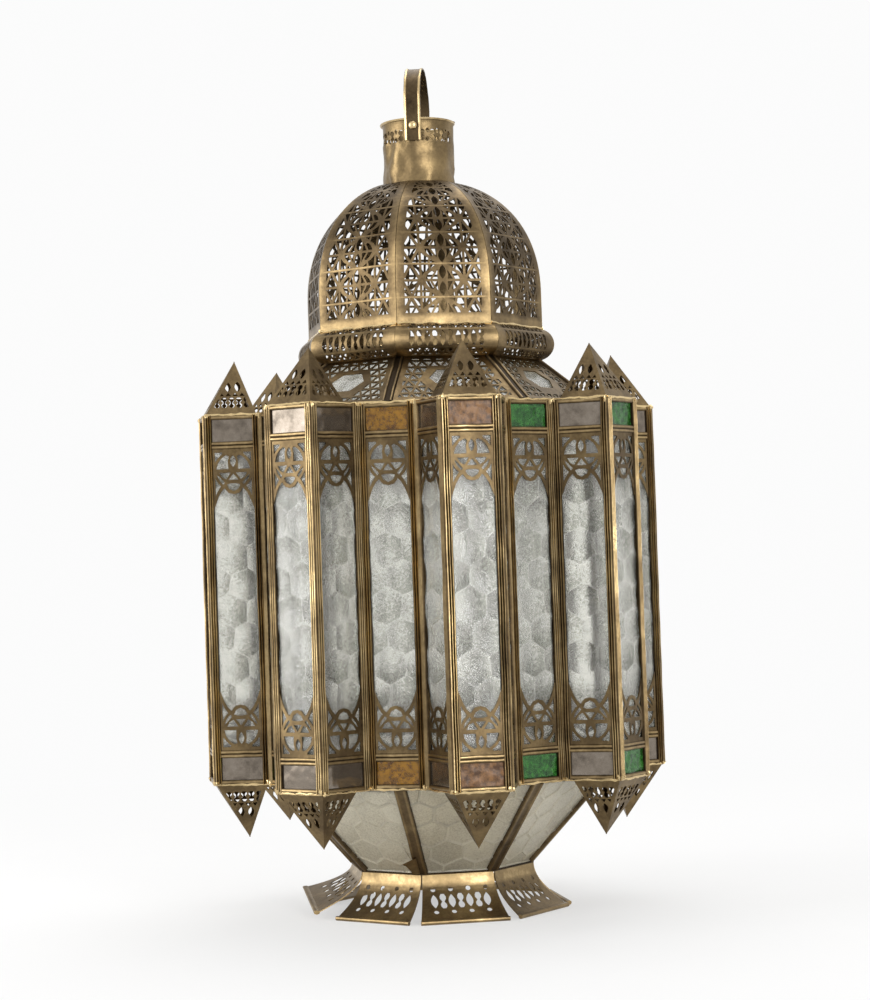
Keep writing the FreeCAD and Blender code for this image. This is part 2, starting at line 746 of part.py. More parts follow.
def build_cap():
    """Hollow pierced pyramid with a flat flange, standing on a turret at level zero."""
    outline = turret_outline()
    apex = (0.0, CAP_APEX_SETBACK - TURRET_FACE_RADIUS, CAP_HEIGHT)
    flange = upright_prism(outline, 0.0, CAP_FLANGE)
    inset = [towards(point, apex[:2], CAP_BORDER / PANEL_PITCH) for point in outline]
    shell = pyramid(inset, 0.0, apex)
    core_share = 1 - CAP_TIP_THICKNESS / CAP_HEIGHT
    core_outline = [towards(point, apex[:2], 1 - core_share) for point in inset]
    core_apex = (apex[0], apex[1], apex[2] * core_share)
    core = pyramid(core_outline, -SHEET, core_apex)
    cap = flange.fuse(shell).cut(core)
    holes = []
    for first, second in zip(inset[-1:] + inset, inset[:-1]):
        corner = (first[0], first[1], 0.0)
        other = (second[0], second[1], 0.0)
        middle = towards(corner, other, 0.5)
        centre = towards(middle, apex, CAP_HOLE_RISE_SHARE)
        ring = [towards(centre, point, CAP_HOLE_SIZE_SHARE) for point in (corner, other, apex)]
        hole = face(ring)
        across = FreeCAD.Vector(*other) - FreeCAD.Vector(*corner)
        up = FreeCAD.Vector(*apex) - FreeCAD.Vector(*corner)
        out = across.cross(up).normalize() * CAP_FACE_REACH
        hole.translate(out * -1)
        holes.append(hole.extrude(out * 2))
    return cap.cut(holes).removeSplitter()


def build_caps():
    """A cap on each turret and the same piece upside down as a pendant under it."""
    cap = build_cap()
    pendant = cap.mirror(ORIGIN, UP)
    cap.translate(UP * BODY_TOP)
    pendant.translate(UP * BODY_BOTTOM)
    nodes = {}
    for index, copy in enumerate(ring_of(cap)):
        nodes["turret_cap_%d" % (index + 1)] = [copy]
    for index, copy in enumerate(ring_of(pendant)):
        nodes["turret_pendant_%d" % (index + 1)] = [copy]
    return nodes


# Foot, floor plate and candle cup

def octagon(radius):
    """Plan outline with a corner between each pair of sides."""
    turns = [math.radians(SECTOR * (index + 0.5)) for index in range(SIDES)]
    return [(radius * math.sin(turn), -radius * math.cos(turn)) for turn in turns]


def build_foot():
    """Eight flared petals with hemmed tips, under an octagonal floor plate that carries the cup."""
    line = []
    for step in range(PETAL_CURVE_STEPS + 1):
        share = step / PETAL_CURVE_STEPS
        spread = (1 - share) ** PETAL_BEND_POWER
        apothem = NECK_APOTHEM + (FOOT_SPREAD - NECK_APOTHEM) * spread
        line.append((apothem, PETAL_HEM_RADIUS + (FOOT_HEIGHT - PETAL_HEM_RADIUS) * share))
    top_half = NECK_APOTHEM * math.tan(HALF_SECTOR) - PETAL_TOP_GAP
    tip_half = FOOT_SPREAD * math.tan(HALF_SECTOR) - PETAL_TIP_GAP
    slope = (tip_half - top_half) / (FOOT_SPREAD - NECK_APOTHEM)

    def half_width(apothem):
        return top_half + (apothem - NECK_APOTHEM) * slope

    petal = wedge(sheet_section(line, SHEET), half_width)
    hem_corner = PETAL_HEM_RADIUS / math.cos(math.pi / HEM_SIDES)
    hem_ring = []
    for index in range(HEM_SIDES):
        turn = 2 * math.pi * (index + 0.5) / HEM_SIDES
        across = FOOT_SPREAD + hem_corner * math.sin(turn)
        hem_ring.append((-tip_half, -across, PETAL_HEM_RADIUS + hem_corner * math.cos(turn)))
    hem = face(hem_ring).extrude(FreeCAD.Vector(2 * tip_half, 0, 0))
    petal = petal.fuse(hem)
    holes = []
    for index in range(PETAL_HOLE_COUNT):
        across = (index - (PETAL_HOLE_COUNT - 1) / 2) * PETAL_HOLE_PITCH
        outline = lens(across, PETAL_HOLE_RISE, PETAL_HOLE_WIDTH, PETAL_HOLE_HEIGHT)
        hole = face([(x, -NECK_APOTHEM + SHEET * 2, level) for x, level in outline])
        holes.append(hole.extrude(FreeCAD.Vector(0, -FOOT_SPREAD, 0)))
    petal = petal.cut(holes).removeSplitter()

    plate = upright_prism(octagon(NECK_RADIUS), FOOT_HEIGHT, FLOOR_TOP)

    pan_top = FLOOR_TOP + CUP_PAN_THICKNESS
    cup_outer = CUP_BORE_RADIUS + CUP_WALL
    cup_top = pan_top + CUP_DEPTH
    pan = upright_prism(octagon(CUP_PAN_RADIUS), FLOOR_TOP, pan_top)
    socket = revolved([
        (CUP_BORE_RADIUS, pan_top),
        (cup_outer, pan_top),
        (cup_outer, cup_top),
        (CUP_BORE_RADIUS, cup_top),
    ])
    cup = pan.fuse(socket).removeSplitter()
    return {"foot_petals": ring_of(petal), "floor_plate": [plate], "candle_cup": [cup]}


def build_all():
    """Every node of the lantern, as lists of solids by name."""
    nodes = {}
    for build in (build_loop, build_collar, build_dome, build_bead, build_roof, build_body, build_door,
                  build_caps, build_taper, build_foot):
        nodes.update(build())
    nodes["upper_eave"] = ring_of(eave(BODY_TOP))
    nodes["lower_eave"] = ring_of(eave(TAPER_TOP))
    return nodes


os.makedirs("parts", exist_ok=True)
for name, solids in build_all().items():
    shape = solids[0] if len(solids) == 1 else Part.makeCompound(solids)
    shape.exportStep("parts/%s.step" % name)
    print(name, len(solids), shape.isValid(), round(shape.Volume))
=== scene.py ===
"""Looks of an eight-turret hanging candle lantern in pierced brass sheet and pressed glass.

Shapes are worked out in millimetres, in the frame's own axes, and scaled to metres when a piece is made.
"""
import json
import math
import random

import bmesh
import bpy
import numpy as np
from mathutils import Matrix, Vector, noise
from mathutils.geometry import delaunay_2d_cdt


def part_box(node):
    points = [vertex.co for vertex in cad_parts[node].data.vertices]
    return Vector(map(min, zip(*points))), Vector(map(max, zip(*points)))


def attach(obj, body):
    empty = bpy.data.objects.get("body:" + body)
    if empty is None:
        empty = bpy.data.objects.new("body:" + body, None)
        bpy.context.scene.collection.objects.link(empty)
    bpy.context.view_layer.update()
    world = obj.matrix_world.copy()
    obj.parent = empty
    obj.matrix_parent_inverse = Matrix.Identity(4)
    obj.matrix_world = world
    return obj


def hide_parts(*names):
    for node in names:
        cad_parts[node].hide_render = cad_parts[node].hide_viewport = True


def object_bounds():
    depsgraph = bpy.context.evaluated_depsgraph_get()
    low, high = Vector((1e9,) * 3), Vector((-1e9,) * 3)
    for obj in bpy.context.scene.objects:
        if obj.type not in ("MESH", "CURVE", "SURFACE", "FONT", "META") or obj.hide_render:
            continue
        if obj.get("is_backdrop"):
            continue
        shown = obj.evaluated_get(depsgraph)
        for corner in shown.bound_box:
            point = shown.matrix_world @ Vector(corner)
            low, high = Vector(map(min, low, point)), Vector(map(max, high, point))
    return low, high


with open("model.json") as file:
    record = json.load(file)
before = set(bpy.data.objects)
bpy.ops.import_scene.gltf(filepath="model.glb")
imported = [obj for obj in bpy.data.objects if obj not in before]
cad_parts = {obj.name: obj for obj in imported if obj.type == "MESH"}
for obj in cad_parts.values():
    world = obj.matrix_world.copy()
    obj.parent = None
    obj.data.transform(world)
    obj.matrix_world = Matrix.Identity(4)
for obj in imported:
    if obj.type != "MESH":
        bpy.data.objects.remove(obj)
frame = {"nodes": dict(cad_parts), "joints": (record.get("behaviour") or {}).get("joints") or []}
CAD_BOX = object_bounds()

MM = 0.001
SIDES = 8
SECTOR = 360.0 / SIDES
TURNS = [SECTOR * index for index in range(SIDES)]
HALF_SECTOR = math.radians(SECTOR / 2)
TAN_HALF = math.tan(HALF_SECTOR)
CORNER_FACTOR = 1 / math.cos(HALF_SECTOR)


def node_box(node):
    """Lowest and highest corner of a node, in millimetres."""
    low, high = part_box(node)
    return np.array(low) / MM, np.array(high) / MM


def node_levels(node):
    """Levels of a node's points, in millimetres."""
    return np.array([v.co[2] for v in frame["nodes"][node].data.vertices]) / MM


def joint_spot(body):
    """Place of the joint that carries a body, in millimetres."""
    joint = [j for j in frame["joints"] if j["child"] == body][0]
    return np.array(joint["pos_m"]) / MM


# Plan and levels, read from the frame
CAP_LOW, CAP_HIGH = node_box("turret_cap_1")
ROOF_LOW, ROOF_HIGH = node_box("roof_panes")
TAPER_LOW, TAPER_HIGH = node_box("taper_panes")
BEAD_LOW, BEAD_HIGH = node_box("ring_bead")
GORE_LOW, GORE_HIGH = node_box("dome_gore_1")
COLLAR_LOW, COLLAR_HIGH = node_box("neck_collar")
LOOP_LOW, LOOP_HIGH = node_box("hanging_loop")
PETAL_LOW, PETAL_HIGH = node_box("foot_petals")
FOOT_NECK = node_box("floor_plate")[1][0]
FACE_RADIUS = -CAP_LOW[1]
BACK_RADIUS = -CAP_HIGH[1]
BACK_HALF = CAP_HIGH[0]
BODY_BOTTOM = node_box("turret_pendant_1")[1][2]
BODY_TOP = CAP_LOW[2]
CAP_RISE = CAP_HIGH[2] - CAP_LOW[2]
DOME_APOTHEM = -GORE_LOW[1]
DOME_RISE = GORE_HIGH[2] - GORE_LOW[2]

# Body panels. A profile holds the share across, the share of height and the wear along one roll
PANEL_PITCH = 44.0
HALF_PANEL = PANEL_PITCH / 2
FRAME_DEPTH = 4.2
FRAME_EDGE_WEAR = 0.1
STILE_WIDTH = 5.7
STILE_STEPS = 19
REED_COUNT = 3
REED_HEIGHT = 1.3
REED_GROOVE = 0.4
REED_PROFILE = ((0.15, 0.62, 0.5), (0.5, 1.0, 1.05), (0.85, 0.62, 0.5), (1.0, 0.0, 0.05))
RAIL_BEAD_HEIGHT = 0.8
RAIL_PROFILE = ((0.2, 0.75, 0.35), (0.5, 1.0, 0.7), (0.8, 0.75, 0.5), (1.0, 0.0, 0.0))
RAIL_TUCK = 0.3
RAIL_STEPS = 6
END_RAIL_HEIGHT = 3.5
SMALL_PANE_HEIGHT = 17.5
MIDDLE_RAIL_HEIGHT = 6.0
PANE_SETBACK = 1.0
GLASS = 3.0
SHEET = 0.8
DOOR_BAY = 4
DOOR_HINGE_GAP = 0.4
DOOR_FREE_GAP = 1.2
DOOR_END_GAP = 0.5
KNUCKLE_BORE = 1.05
KNUCKLE_RADIUS = 2.2
KNUCKLE_GAP = 0.2
KNUCKLE_SIDES = 20
LEAF_START = 0.8
LEAF_END = 4.0
LEAF_BACK = 0.8
LEAF_FRONT = 2.0
FLARE = math.atan2(BACK_HALF - HALF_PANEL, FACE_RADIUS - BACK_RADIUS)
OUTER_MITRE = (math.pi / 2 - FLARE) / 2
INNER_MITRE = HALF_SECTOR / 2 - OUTER_MITRE
SPANDREL_HALF = (PANEL_PITCH - 2 * STILE_WIDTH) / 2
DOOR_SPANDREL_HALF = SPANDREL_HALF - (DOOR_HINGE_GAP + DOOR_FREE_GAP) / 2

# Pressed glass. Reaches are shares of the cells' spacing
CELL_REACH = 2.2
BOWL_REACH = 0.55
HALF_PLANE_REACH = 500.0
CELL_EDGE_STEP = 3.5
CELL_RINGS = (1.0, 0.86, 0.5)
# Painted highlight of each ring, brightest along the ridges
CELL_RING_PAINTED_HIGHLIGHT = (1.0, 0.35, 0.0)
LEAST_CELL = 1.0
# Painted shade across each pressed cell: how much lighter it is painted towards one side, and the range of
# bearings, in degrees, of that lighter side
CELL_PAINTED_SHADE_SLOPES = (0.35, 0.6)
EMBOSSED_PAINTED_SHADE_SLOPE = 0.12
PAINTED_LIGHT_BEARINGS = (90, 230)
CELL_TONES = (0.4, 0.7)
LONG_CELL_STRETCH = 0.9
MIRROR_RIPPLE = 0.12
PRESSED_RIPPLE = 0.7
RIPPLE_SCALE = 0.22

# Spacing, jitter and depth of the cells
LONG_CELLS = (24.5, 2.2, 1.5)
ROOF_CELLS = (24.0, 4.0, 0.5)
TAPER_CELLS = (25.0, 1.6, 0.8)

# Glass of the small panes: fronts by turret, bays in turn
TURRET_FRONT_PANES = ["rose", "green", "mirror", "amber", "rose", "green", "amber", "mirror"]
BAY_PANES = ["green", "amber"]

# Dome, bead, roof, taper and foot
FOLD_INSET = 0.01
DOME_WALL_HEIGHT = 30.0
DOME_CURVE_POWER = 2.2
DOME_LANDING = 32.0
GORE_GAP = 0.25
GORE_BORDER = 7.0
GORE_FOOT_BORDER = 8.0
GORE_ROW_PITCH = 13.2
GORE_RIBBON = 1.9
GORE_SPINE = 17.4
GORE_SIDE_TRIANGLE = 13.4
BEAD_LAP = math.radians(20.0)
BEAD_RADIUS = (BEAD_HIGH[2] - BEAD_LOW[2]) / 2 / math.cos(BEAD_LAP)
BEAD_APOTHEM = DOME_APOTHEM - BEAD_RADIUS * math.sin(BEAD_LAP)
BEAD_GAP = 0.15
BEAD_END_BAND = 5.0
BEAD_SLOTS = 10
RIB_WIDTH = 8.0
TAPER_RIB_WIDTH = 9.6
RIB_PROUD = 1.2
RIB_DEPTH = 4.0
SLOPE_SETBACK = 3.5
ROOF_TRIANGLE = 9.6
ROOF_STRIP = 1.5
PETAL_TOP_GAP = 0.6
PETAL_TIP_GAP = 5.2
PETAL_BEND_POWER = 2.0
PETAL_HEM_RADIUS = 1.8
PETAL_SLOTS = 7
PETAL_SLOT_PITCH = 7.0
BENT_PETAL = 7
BENT_PETAL_FLARE = 1.4
BENT_PETAL_DROP = 0.88
BENT_PETAL_TWIST = 12.0

# Collar and loop
COLLAR_RADIUS = 29.0
COLLAR_RIM_FLARE = 1.5
COLLAR_OVERLAP = 7.0
COLLAR_SLOTS = 20
LOOP_AZIMUTH = -17.0
LOOP_WIDTH = 13.4
LOOP_THICKNESS = 1.4
LOOP_CLEARANCE = 0.4
RIVET_RADIUS = 2.0
RIVET_HEAD_RADIUS = 3.4
RIVET_HEAD_HEIGHT = 1.6
RIVET_TIP = 0.05
RIVET_SIDES = 18

# Caps
CAP_APEX_SETBACK = 28.0
CAP_FLANGE = 1.0
CAP_SPREAD_SHARE = 0.2
CAP_INSET_SHARE = 0.045
CAP_SLOTS = 5

# Width and height of the holes
GORE_LENS_WIDTH = 5.6
BEAD_SLOT = (4.0, 13.0)
BEAD_LENS = (4.6, 13.5)
BEAD_DOT_RADIUS = 1.8
CAP_SLOT = (4.6, 9.6)
CAP_LENS = (4.8, 9.6)
COLLAR_SLOT = (4.6, 9.0)
COLLAR_LENS = (3.0, 4.4)
PETAL_SLOT = (5.0, 14.0)
PETAL_LENS = (5.6, 13.0)
PETAL_DOTS = ((10.6, 2.0), (-10.6, 2.1))

# Wear of the brass, from dark at 0 to rubbed bright at 1
SPANDREL_WEAR = 0.62
HINGE_WEAR = 0.7
BORDER_WEAR = 0.56
LATTICE_WEAR = 0.31
DOME_TOP_LOSS = 0.12
BEAD_WEAR = 0.36
ROOF_PLATE_WEAR = 0.66
CAP_WEAR = 0.42
FLANGE_WEAR = 0.7
COLLAR_WEAR = 0.52
COLLAR_RIM_WEAR = 0.8
PETAL_WEAR = 0.46
PETAL_NECK_WEAR = 0.64
HEM_WEAR = 0.55
TAB_WEAR = 0.5
STILE_RUB = (0.62, 1.0)

# Solder
BLOB_WIDTH = 1.6
BLOB_HEIGHTS = (1.2, 2.6)
BLOB_WEAR = 0.9
GORE_SOLDER_RADII = (0.6, 1.3)
GORE_SOLDER_WEAR = 1.0
EAVE_SOLDER_RADII = (0.5, 1.2)
EAVE_SOLDER_LIFTS = (-0.5, 0.6)
EAVE_SOLDER_WEAR = 0.95

# Angles, in degrees, over which an edge stays sharp
GLASS_CREASE = 11.0
SHEET_CREASE = 28.0
FRAME_CREASE = 35.0
COLLAR_CREASE = 40.0

DICE = random.Random(8)


def wobble(reach):
    """Random shift of up to a reach either way."""
    return DICE.uniform(-reach, reach)


# Mesh making

class Mesh:
    """Points, faces, wear and tone of one piece. On glass, the wear is a painted highlight along the ridges
    and the tone holds painted shade.
    """

    def __init__(self):
        self.points = []
        self.faces = []
        self.wear_and_painted_highlight = []
        self.tones_and_painted_shade = []

    def add(self, points, faces, wear_and_painted_highlight=0.5, tone=0.5):
        """Joins points and faces to the piece. Wear and tone are one value, or one for each point."""
        start = len(self.points)
        points = np.asarray(points, float).reshape(-1, 3)
        self.points.extend(points.tolist())
        self.wear_and_painted_highlight.extend(np.broadcast_to(wear_and_painted_highlight, len(points)).tolist())
        self.faces.extend(tuple(int(i) + start for i in corners) for corners in faces)
        spread = np.broadcast_to(tone, len(points)).tolist()
        self.tones_and_painted_shade.extend([spread[i] for i in corners] for corners in faces)

    def loft(self, rings, wear_and_painted_highlight=0.5, closed=True, caps=True):
        """Skin over rings of as many points each. Closed rings get end caps."""
        rings = np.asarray(rings, float)
        count, size = rings.shape[:2]
        faces = []
        for row in range(count - 1):
            for column in range(size if closed else size - 1):
                following = (column + 1) % size
                first = row * size
                second = first + size
                faces.append((first + column, first + following, second + following, second + column))
        if closed and caps:
            faces.append(tuple(range(size))[::-1])
            faces.append(tuple(range((count - 1) * size, count * size)))
        spread = np.broadcast_to(wear_and_painted_highlight, (count, size)).reshape(-1)
        self.add(rings.reshape(-1, 3), faces, spread)

    def tube(self, path, radii, sides, wear_and_painted_highlight):
        """Round bar along a path, with a radius for each point or one for all."""
        path = np.asarray(path, float)
        radii = np.broadcast_to(radii, len(path))[:, None, None]
        run = unit(np.gradient(path, axis=0))
        across = unit(np.cross(run, (0.0, 0.0, 1.0)))
        lift = np.cross(across, run)
        turns = round_turns(sides)[None, :, None]
        ring = np.cos(turns) * across[:, None] + np.sin(turns) * lift[:, None]
        self.loft(path[:, None] + radii * ring, wear_and_painted_highlight)

    def turned_copies(self, source, degrees):
        """Copies of another piece, turned about the lantern's axis."""
        for angle in degrees:
            start = len(self.faces)
            self.add(turned(source.points, angle), source.faces, source.wear_and_painted_highlight)
            self.tones_and_painted_shade[start:] = source.tones_and_painted_shade


def unit(vectors):
    """Rows of an array, each at length one."""
    return vectors / np.linalg.norm(vectors, axis=1)[:, None]


def round_turns(count):
    """Even angles once round."""
    return np.arange(count) * 2 * math.pi / count


def turned(points, degrees):
    """Points turned about the lantern's axis; a positive angle takes -Y to +X."""
    turn = math.radians(degrees)
    cosine, sine = math.cos(turn), math.sin(turn)
    x, y, z = np.asarray(points, float).reshape(-1, 3).T
    return np.stack([x * cosine - y * sine, x * sine + y * cosine, z], axis=1)


def make_piece(mesh, name, material, body, nodes=(), crease=FRAME_CREASE):
    """Blender object of a piece, riding on its body and standing for CAD nodes."""
    data = bpy.data.meshes.new(name)
    data.from_pydata((np.array(mesh.points) * MM).tolist(), [], mesh.faces)
    # On glass, the wear attribute holds a painted highlight along the ridges, and the tone holds painted
    # shade across the cells
    wear_and_painted_highlight = data.attributes.new("wear_and_painted_highlight", "FLOAT", "POINT")
    wear_and_painted_highlight.data.foreach_set("value", np.array(mesh.wear_and_painted_highlight, np.float32))
    tone = data.attributes.new("tone", "FLOAT", "CORNER")
    tone.data.foreach_set("value", np.concatenate(mesh.tones_and_painted_shade).astype(np.float32))
    work = bmesh.new()
    work.from_mesh(data)
    bmesh.ops.remove_doubles(work, verts=work.verts, dist=1e-6)
    bmesh.ops.recalc_face_normals(work, faces=work.faces)
    work.to_mesh(data)
    work.free()
    data.shade_smooth()
    data.set_sharp_from_angle(angle=math.radians(crease))
    data.materials.append(material)
    piece = bpy.data.objects.new(name, data)
    bpy.context.scene.collection.objects.link(piece)
    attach(piece, body)
    if nodes:
        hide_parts(*nodes)
    return piece


# Flat outlines

def edges(ring):
    """Each point of a ring with the one after it."""
    return zip(ring, ring[1:] + ring[:1])


def inside(points, ring):
    """Which points lie inside a ring, by crossings."""
    ring = np.asarray(ring, float)
    first, second = ring, np.roll(ring, -1, axis=0)
    x, y = points[:, 0][:, None], points[:, 1][:, None]
    spans = (first[:, 1] > y) != (second[:, 1] > y)
    rise = np.where(first[:, 1] == second[:, 1], 1.0, second[:, 1] - first[:, 1])
    crossing = first[:, 0] + (y - first[:, 1]) / rise * (second[:, 0] - first[:, 0])
    return (spans & (x < crossing)).sum(axis=1) % 2 == 1


def clipped(ring, clip):
    """Part of a ring inside a convex ring that runs anticlockwise."""
    result = [tuple(p) for p in ring]
    for first, second in edges(clip):
        source, result = result, []
        if not source:
            break
        run = (second[0] - first[0], second[1] - first[1])
        offsets = [run[0] * (p[1] - first[1]) - run[1] * (p[0] - first[0]) for p in source]
        for (here, there), (a, b) in zip(edges(source), edges(offsets)):
            if a >= 0:
                result.append(here)
            if (a >= 0) != (b >= 0):
                share = a / (a - b)
                result.append(tuple(p + (q - p) * share for p, q in zip(here, there)))
    return result


def area(ring):
    """Area of a ring, positive when it runs anticlockwise."""
    return sum(a[0] * b[1] - b[0] * a[1] for a, b in edges(ring)) / 2


def kept_holes(holes, field, least=3.0):
    """Holes cut to a field, without the slivers."""
    cut = [clipped(hole, field) for hole in holes]
    return [hole for hole in cut if len(hole) > 2 and abs(area(hole)) > least]


def pierced(outline, holes, folds=()):
    """Flat sheet with holes as points, triangles and open edges. Folds are lines that it bends along."""
    points = []
    sides = []
    for ring in [outline] + list(holes):
        start = len(points)
        points += [Vector(p) for p in ring]
        sides += [(start + i, start + (i + 1) % len(ring)) for i in range(len(ring))]
    for line in folds:
        start = len(points)
        points += [Vector(p) for p in line]
        sides.append((start, start + 1))
    found, _, corners, *_ = delaunay_2d_cdt(points, sides, [], 0, 1e-5)
    flat = np.array([p[:] for p in found])
    triangles = np.array(corners)
    middles = flat[triangles].mean(axis=1)
    keep = inside(middles, outline)
    for hole in holes:
        ring = np.asarray(hole)
        near = np.all((middles > ring.min(axis=0)) & (middles < ring.max(axis=0)), axis=1) & keep
        index = np.nonzero(near)[0]
        keep[index[inside(middles[index], ring)]] = False
    triangles = triangles[keep]
    directed = {tuple(pair) for tri in triangles for pair in zip(tri, np.roll(tri, -1))}
    rim = [pair for pair in directed if pair[::-1] not in directed]
    return flat, triangles, sorted(rim)


def add_sheet(mesh, sheet, place, thickness=SHEET, wear_and_painted_highlight=0.5):
    """Gives a flat pierced sheet its place and thickness. Place takes across, up and out."""
    flat, triangles, rim = sheet
    count = len(flat)
    front = place(flat[:, 0], flat[:, 1], 0.0)
    back = place(flat[:, 0], flat[:, 1], -thickness)
    faces = [tuple(tri) for tri in triangles]
    faces += [tuple(tri[::-1] + count) for tri in triangles]
    faces += [(a, a + count, b + count, b) for a, b in rim]
    mesh.add(np.concatenate([front, back]), faces, wear_and_painted_highlight)


def strip_outline(half, levels):
    """Outline of a sheet that is even about its middle line, from its half widths."""
    return list(zip(half, levels)) + list(zip(-half[::-1], levels[::-1]))


def cross_folds(half, levels):
    """Lines across such a sheet that it bends along."""
    return [((FOLD_INSET - h, s), (h - FOLD_INSET, s)) for h, s in zip(half[1:-1], levels[1:-1])]


def lens(x, y, width, height, steps=5):
    """Pointed lens hole."""
    shares = np.linspace(-1, 1, 2 * steps + 1)
    right = [(x + width / 2 * (1 - t * t), y + t * height / 2) for t in shares]
    left = [(x - width / 2 * (1 - t * t), y + t * height / 2) for t in shares[-2:0:-1]]
    return right + left


def hourglass(x, y, width, height):
    """Slot with round ends and a waist."""
    waist = 0.4
    fullness = 0.8
    spread = 0.1
    shares = np.linspace(-1, 1, 7)
    swell = [math.sin(math.pi * abs(t)) ** fullness for t in shares]
    half = [width / 2 * (waist + (1 - waist) * s + spread * abs(t)) for t, s in zip(shares, swell)]
    right = [(x + h, y + t * height / 2) for t, h in zip(shares, half)]
    left = [(x - h, y + t * height / 2) for t, h in zip(shares[::-1], half[::-1])]
    return right + left


def dot(x, y, radius):
    """Round hole."""
    return arc((x, y), radius, 0, 320, 9)


def triangle(x, y, width, height):
    """Triangle hole from the middle of its base, pointing down when the height is negative."""
    half = width / 2 if height > 0 else -width / 2
    return [(x - half, y), (x + half, y), (x, y + height)]


def arc(centre, radius, first, last, count=6):
    """Points round a centre, by angles in degrees from +X."""
    turns = np.radians(np.linspace(first, last, count))
    return [(centre[0] + radius * math.cos(t), centre[1] + radius * math.sin(t)) for t in turns]


def bowed(corners, bows, steps=4):
    """Ring through corners whose sides bow out by a share of their length, or in when negative."""
    ring = []
    for (a, b), bow in zip(edges(corners), bows):
        run = (b[0] - a[0], b[1] - a[1])
        for i in range(steps):
            t = i / steps
            lift = bow * 4 * t * (1 - t)
            ring.append((a[0] + run[0] * t + run[1] * lift, a[1] + run[1] * t - run[0] * lift))
    return ring


def both_sides(ring):
    """A ring, made to run anticlockwise, and its mirror image."""
    ring = ring if area(ring) > 0 else ring[::-1]
    return [ring, [(-x, y) for x, y in ring][::-1]]


# Node materials

class Shading:
    """Nodes of a material or a world, with short ways to add and join them."""

    def __init__(self, owner):
        owner.use_nodes = True
        self.nodes = owner.node_tree.nodes
        self.links = owner.node_tree.links

    def attribute(self, name):
        """Value stored on the mesh."""
        node = self.nodes.new("ShaderNodeAttribute")
        node.attribute_name = name
        return node.outputs["Fac"]

    def noise(self, scale, detail=4.0, rough=0.55):
        """Noise over the piece's own coordinates."""
        place = self.nodes.new("ShaderNodeTexCoord")
        texture = self.nodes.new("ShaderNodeTexNoise")
        texture.inputs["Scale"].default_value = scale
        texture.inputs["Detail"].default_value = detail
        texture.inputs["Roughness"].default_value = rough
        self.links.new(place.outputs["Object"], texture.inputs["Vector"])
        return texture.outputs["Fac"]

    def ramp(self, source, stops):
        """Colours, or greys where a stop has one value, over a value."""
        node = self.nodes.new("ShaderNodeValToRGB")
        elements = node.color_ramp.elements
        while len(elements) < len(stops):
            elements.new(0.5)
        for element, (position, colour) in zip(elements, stops):
            element.position = position
            element.color = (*np.broadcast_to(colour, 3).tolist(), 1.0)
        self.links.new(source, node.inputs["Fac"])
        return node.outputs["Color"]

    def combine(self, operation, *values):
        """Sum, product or the like of values or outputs."""
        node = self.nodes.new("ShaderNodeMath")
        node.operation = operation
        for socket, value in zip(node.inputs, values):
            if isinstance(value, float):
                socket.default_value = value
            else:
                self.links.new(value, socket)
        return node.outputs[0]

    def bump(self, height, strength, distance):
        """Bump from a height output."""
        node = self.nodes.new("ShaderNodeBump")
        node.inputs["Strength"].default_value = strength
        node.inputs["Distance"].default_value = distance
        self.links.new(height, node.inputs["Height"])
        return node.outputs["Normal"]

    def seen(self):
        """One where the camera looks, directly, in the metal or through the glass, and zero elsewhere."""
        path = self.nodes.new("ShaderNodeLightPath")
        direct = self.combine("MAXIMUM", path.outputs["Is Camera Ray"], path.outputs["Is Transmission Ray"])
        return self.combine("MAXIMUM", direct, path.outputs["Is Glossy Ray"])


def new_material(name):
    """Node material with its shading and its shader."""
    material = bpy.data.materials.new(name)
    shading = Shading(material)
    return material, shading, shading.nodes["Principled BSDF"]


def brass(name, tarnish=0.0):
    """Aged brass: dark in grooves and stains, golden where the sheet is rubbed."""
    stain_share = 0.9
    grain_share = 0.25
    material, shading, shader = new_material(name)
    stains = shading.noise(38.0, 6.0, 0.65)
    grain = shading.noise(420.0, 3.0)
    dents = shading.noise(130.0, 2.0)
    patchy = shading.combine("MULTIPLY_ADD", stains, stain_share, -stain_share / 2 - tarnish)
    fine = shading.combine("MULTIPLY_ADD", grain, grain_share, -grain_share / 2)
    level = shading.combine("ADD", shading.attribute("wear_and_painted_highlight"), patchy)
    level = shading.combine("ADD", level, fine)
    colour = shading.ramp(level, [
        (0.0, (0.034, 0.023, 0.013)),
        (0.35, (0.130, 0.091, 0.047)),
        (0.65, (0.285, 0.203, 0.099)),
        (1.0, (0.720, 0.550, 0.290)),
    ])
    shading.links.new(colour, shader.inputs["Base Color"])
    dull = shading.ramp(level, [(0.0, 0.52), (0.6, 0.36), (1.0, 0.24)])
    shading.links.new(dull, shader.inputs["Roughness"])
    shader.inputs["Metallic"].default_value = 1.0
    height = shading.combine("ADD", dents, fine)
    shading.links.new(shading.bump(height, 0.35, 0.0006), shader.inputs["Normal"])
    return material


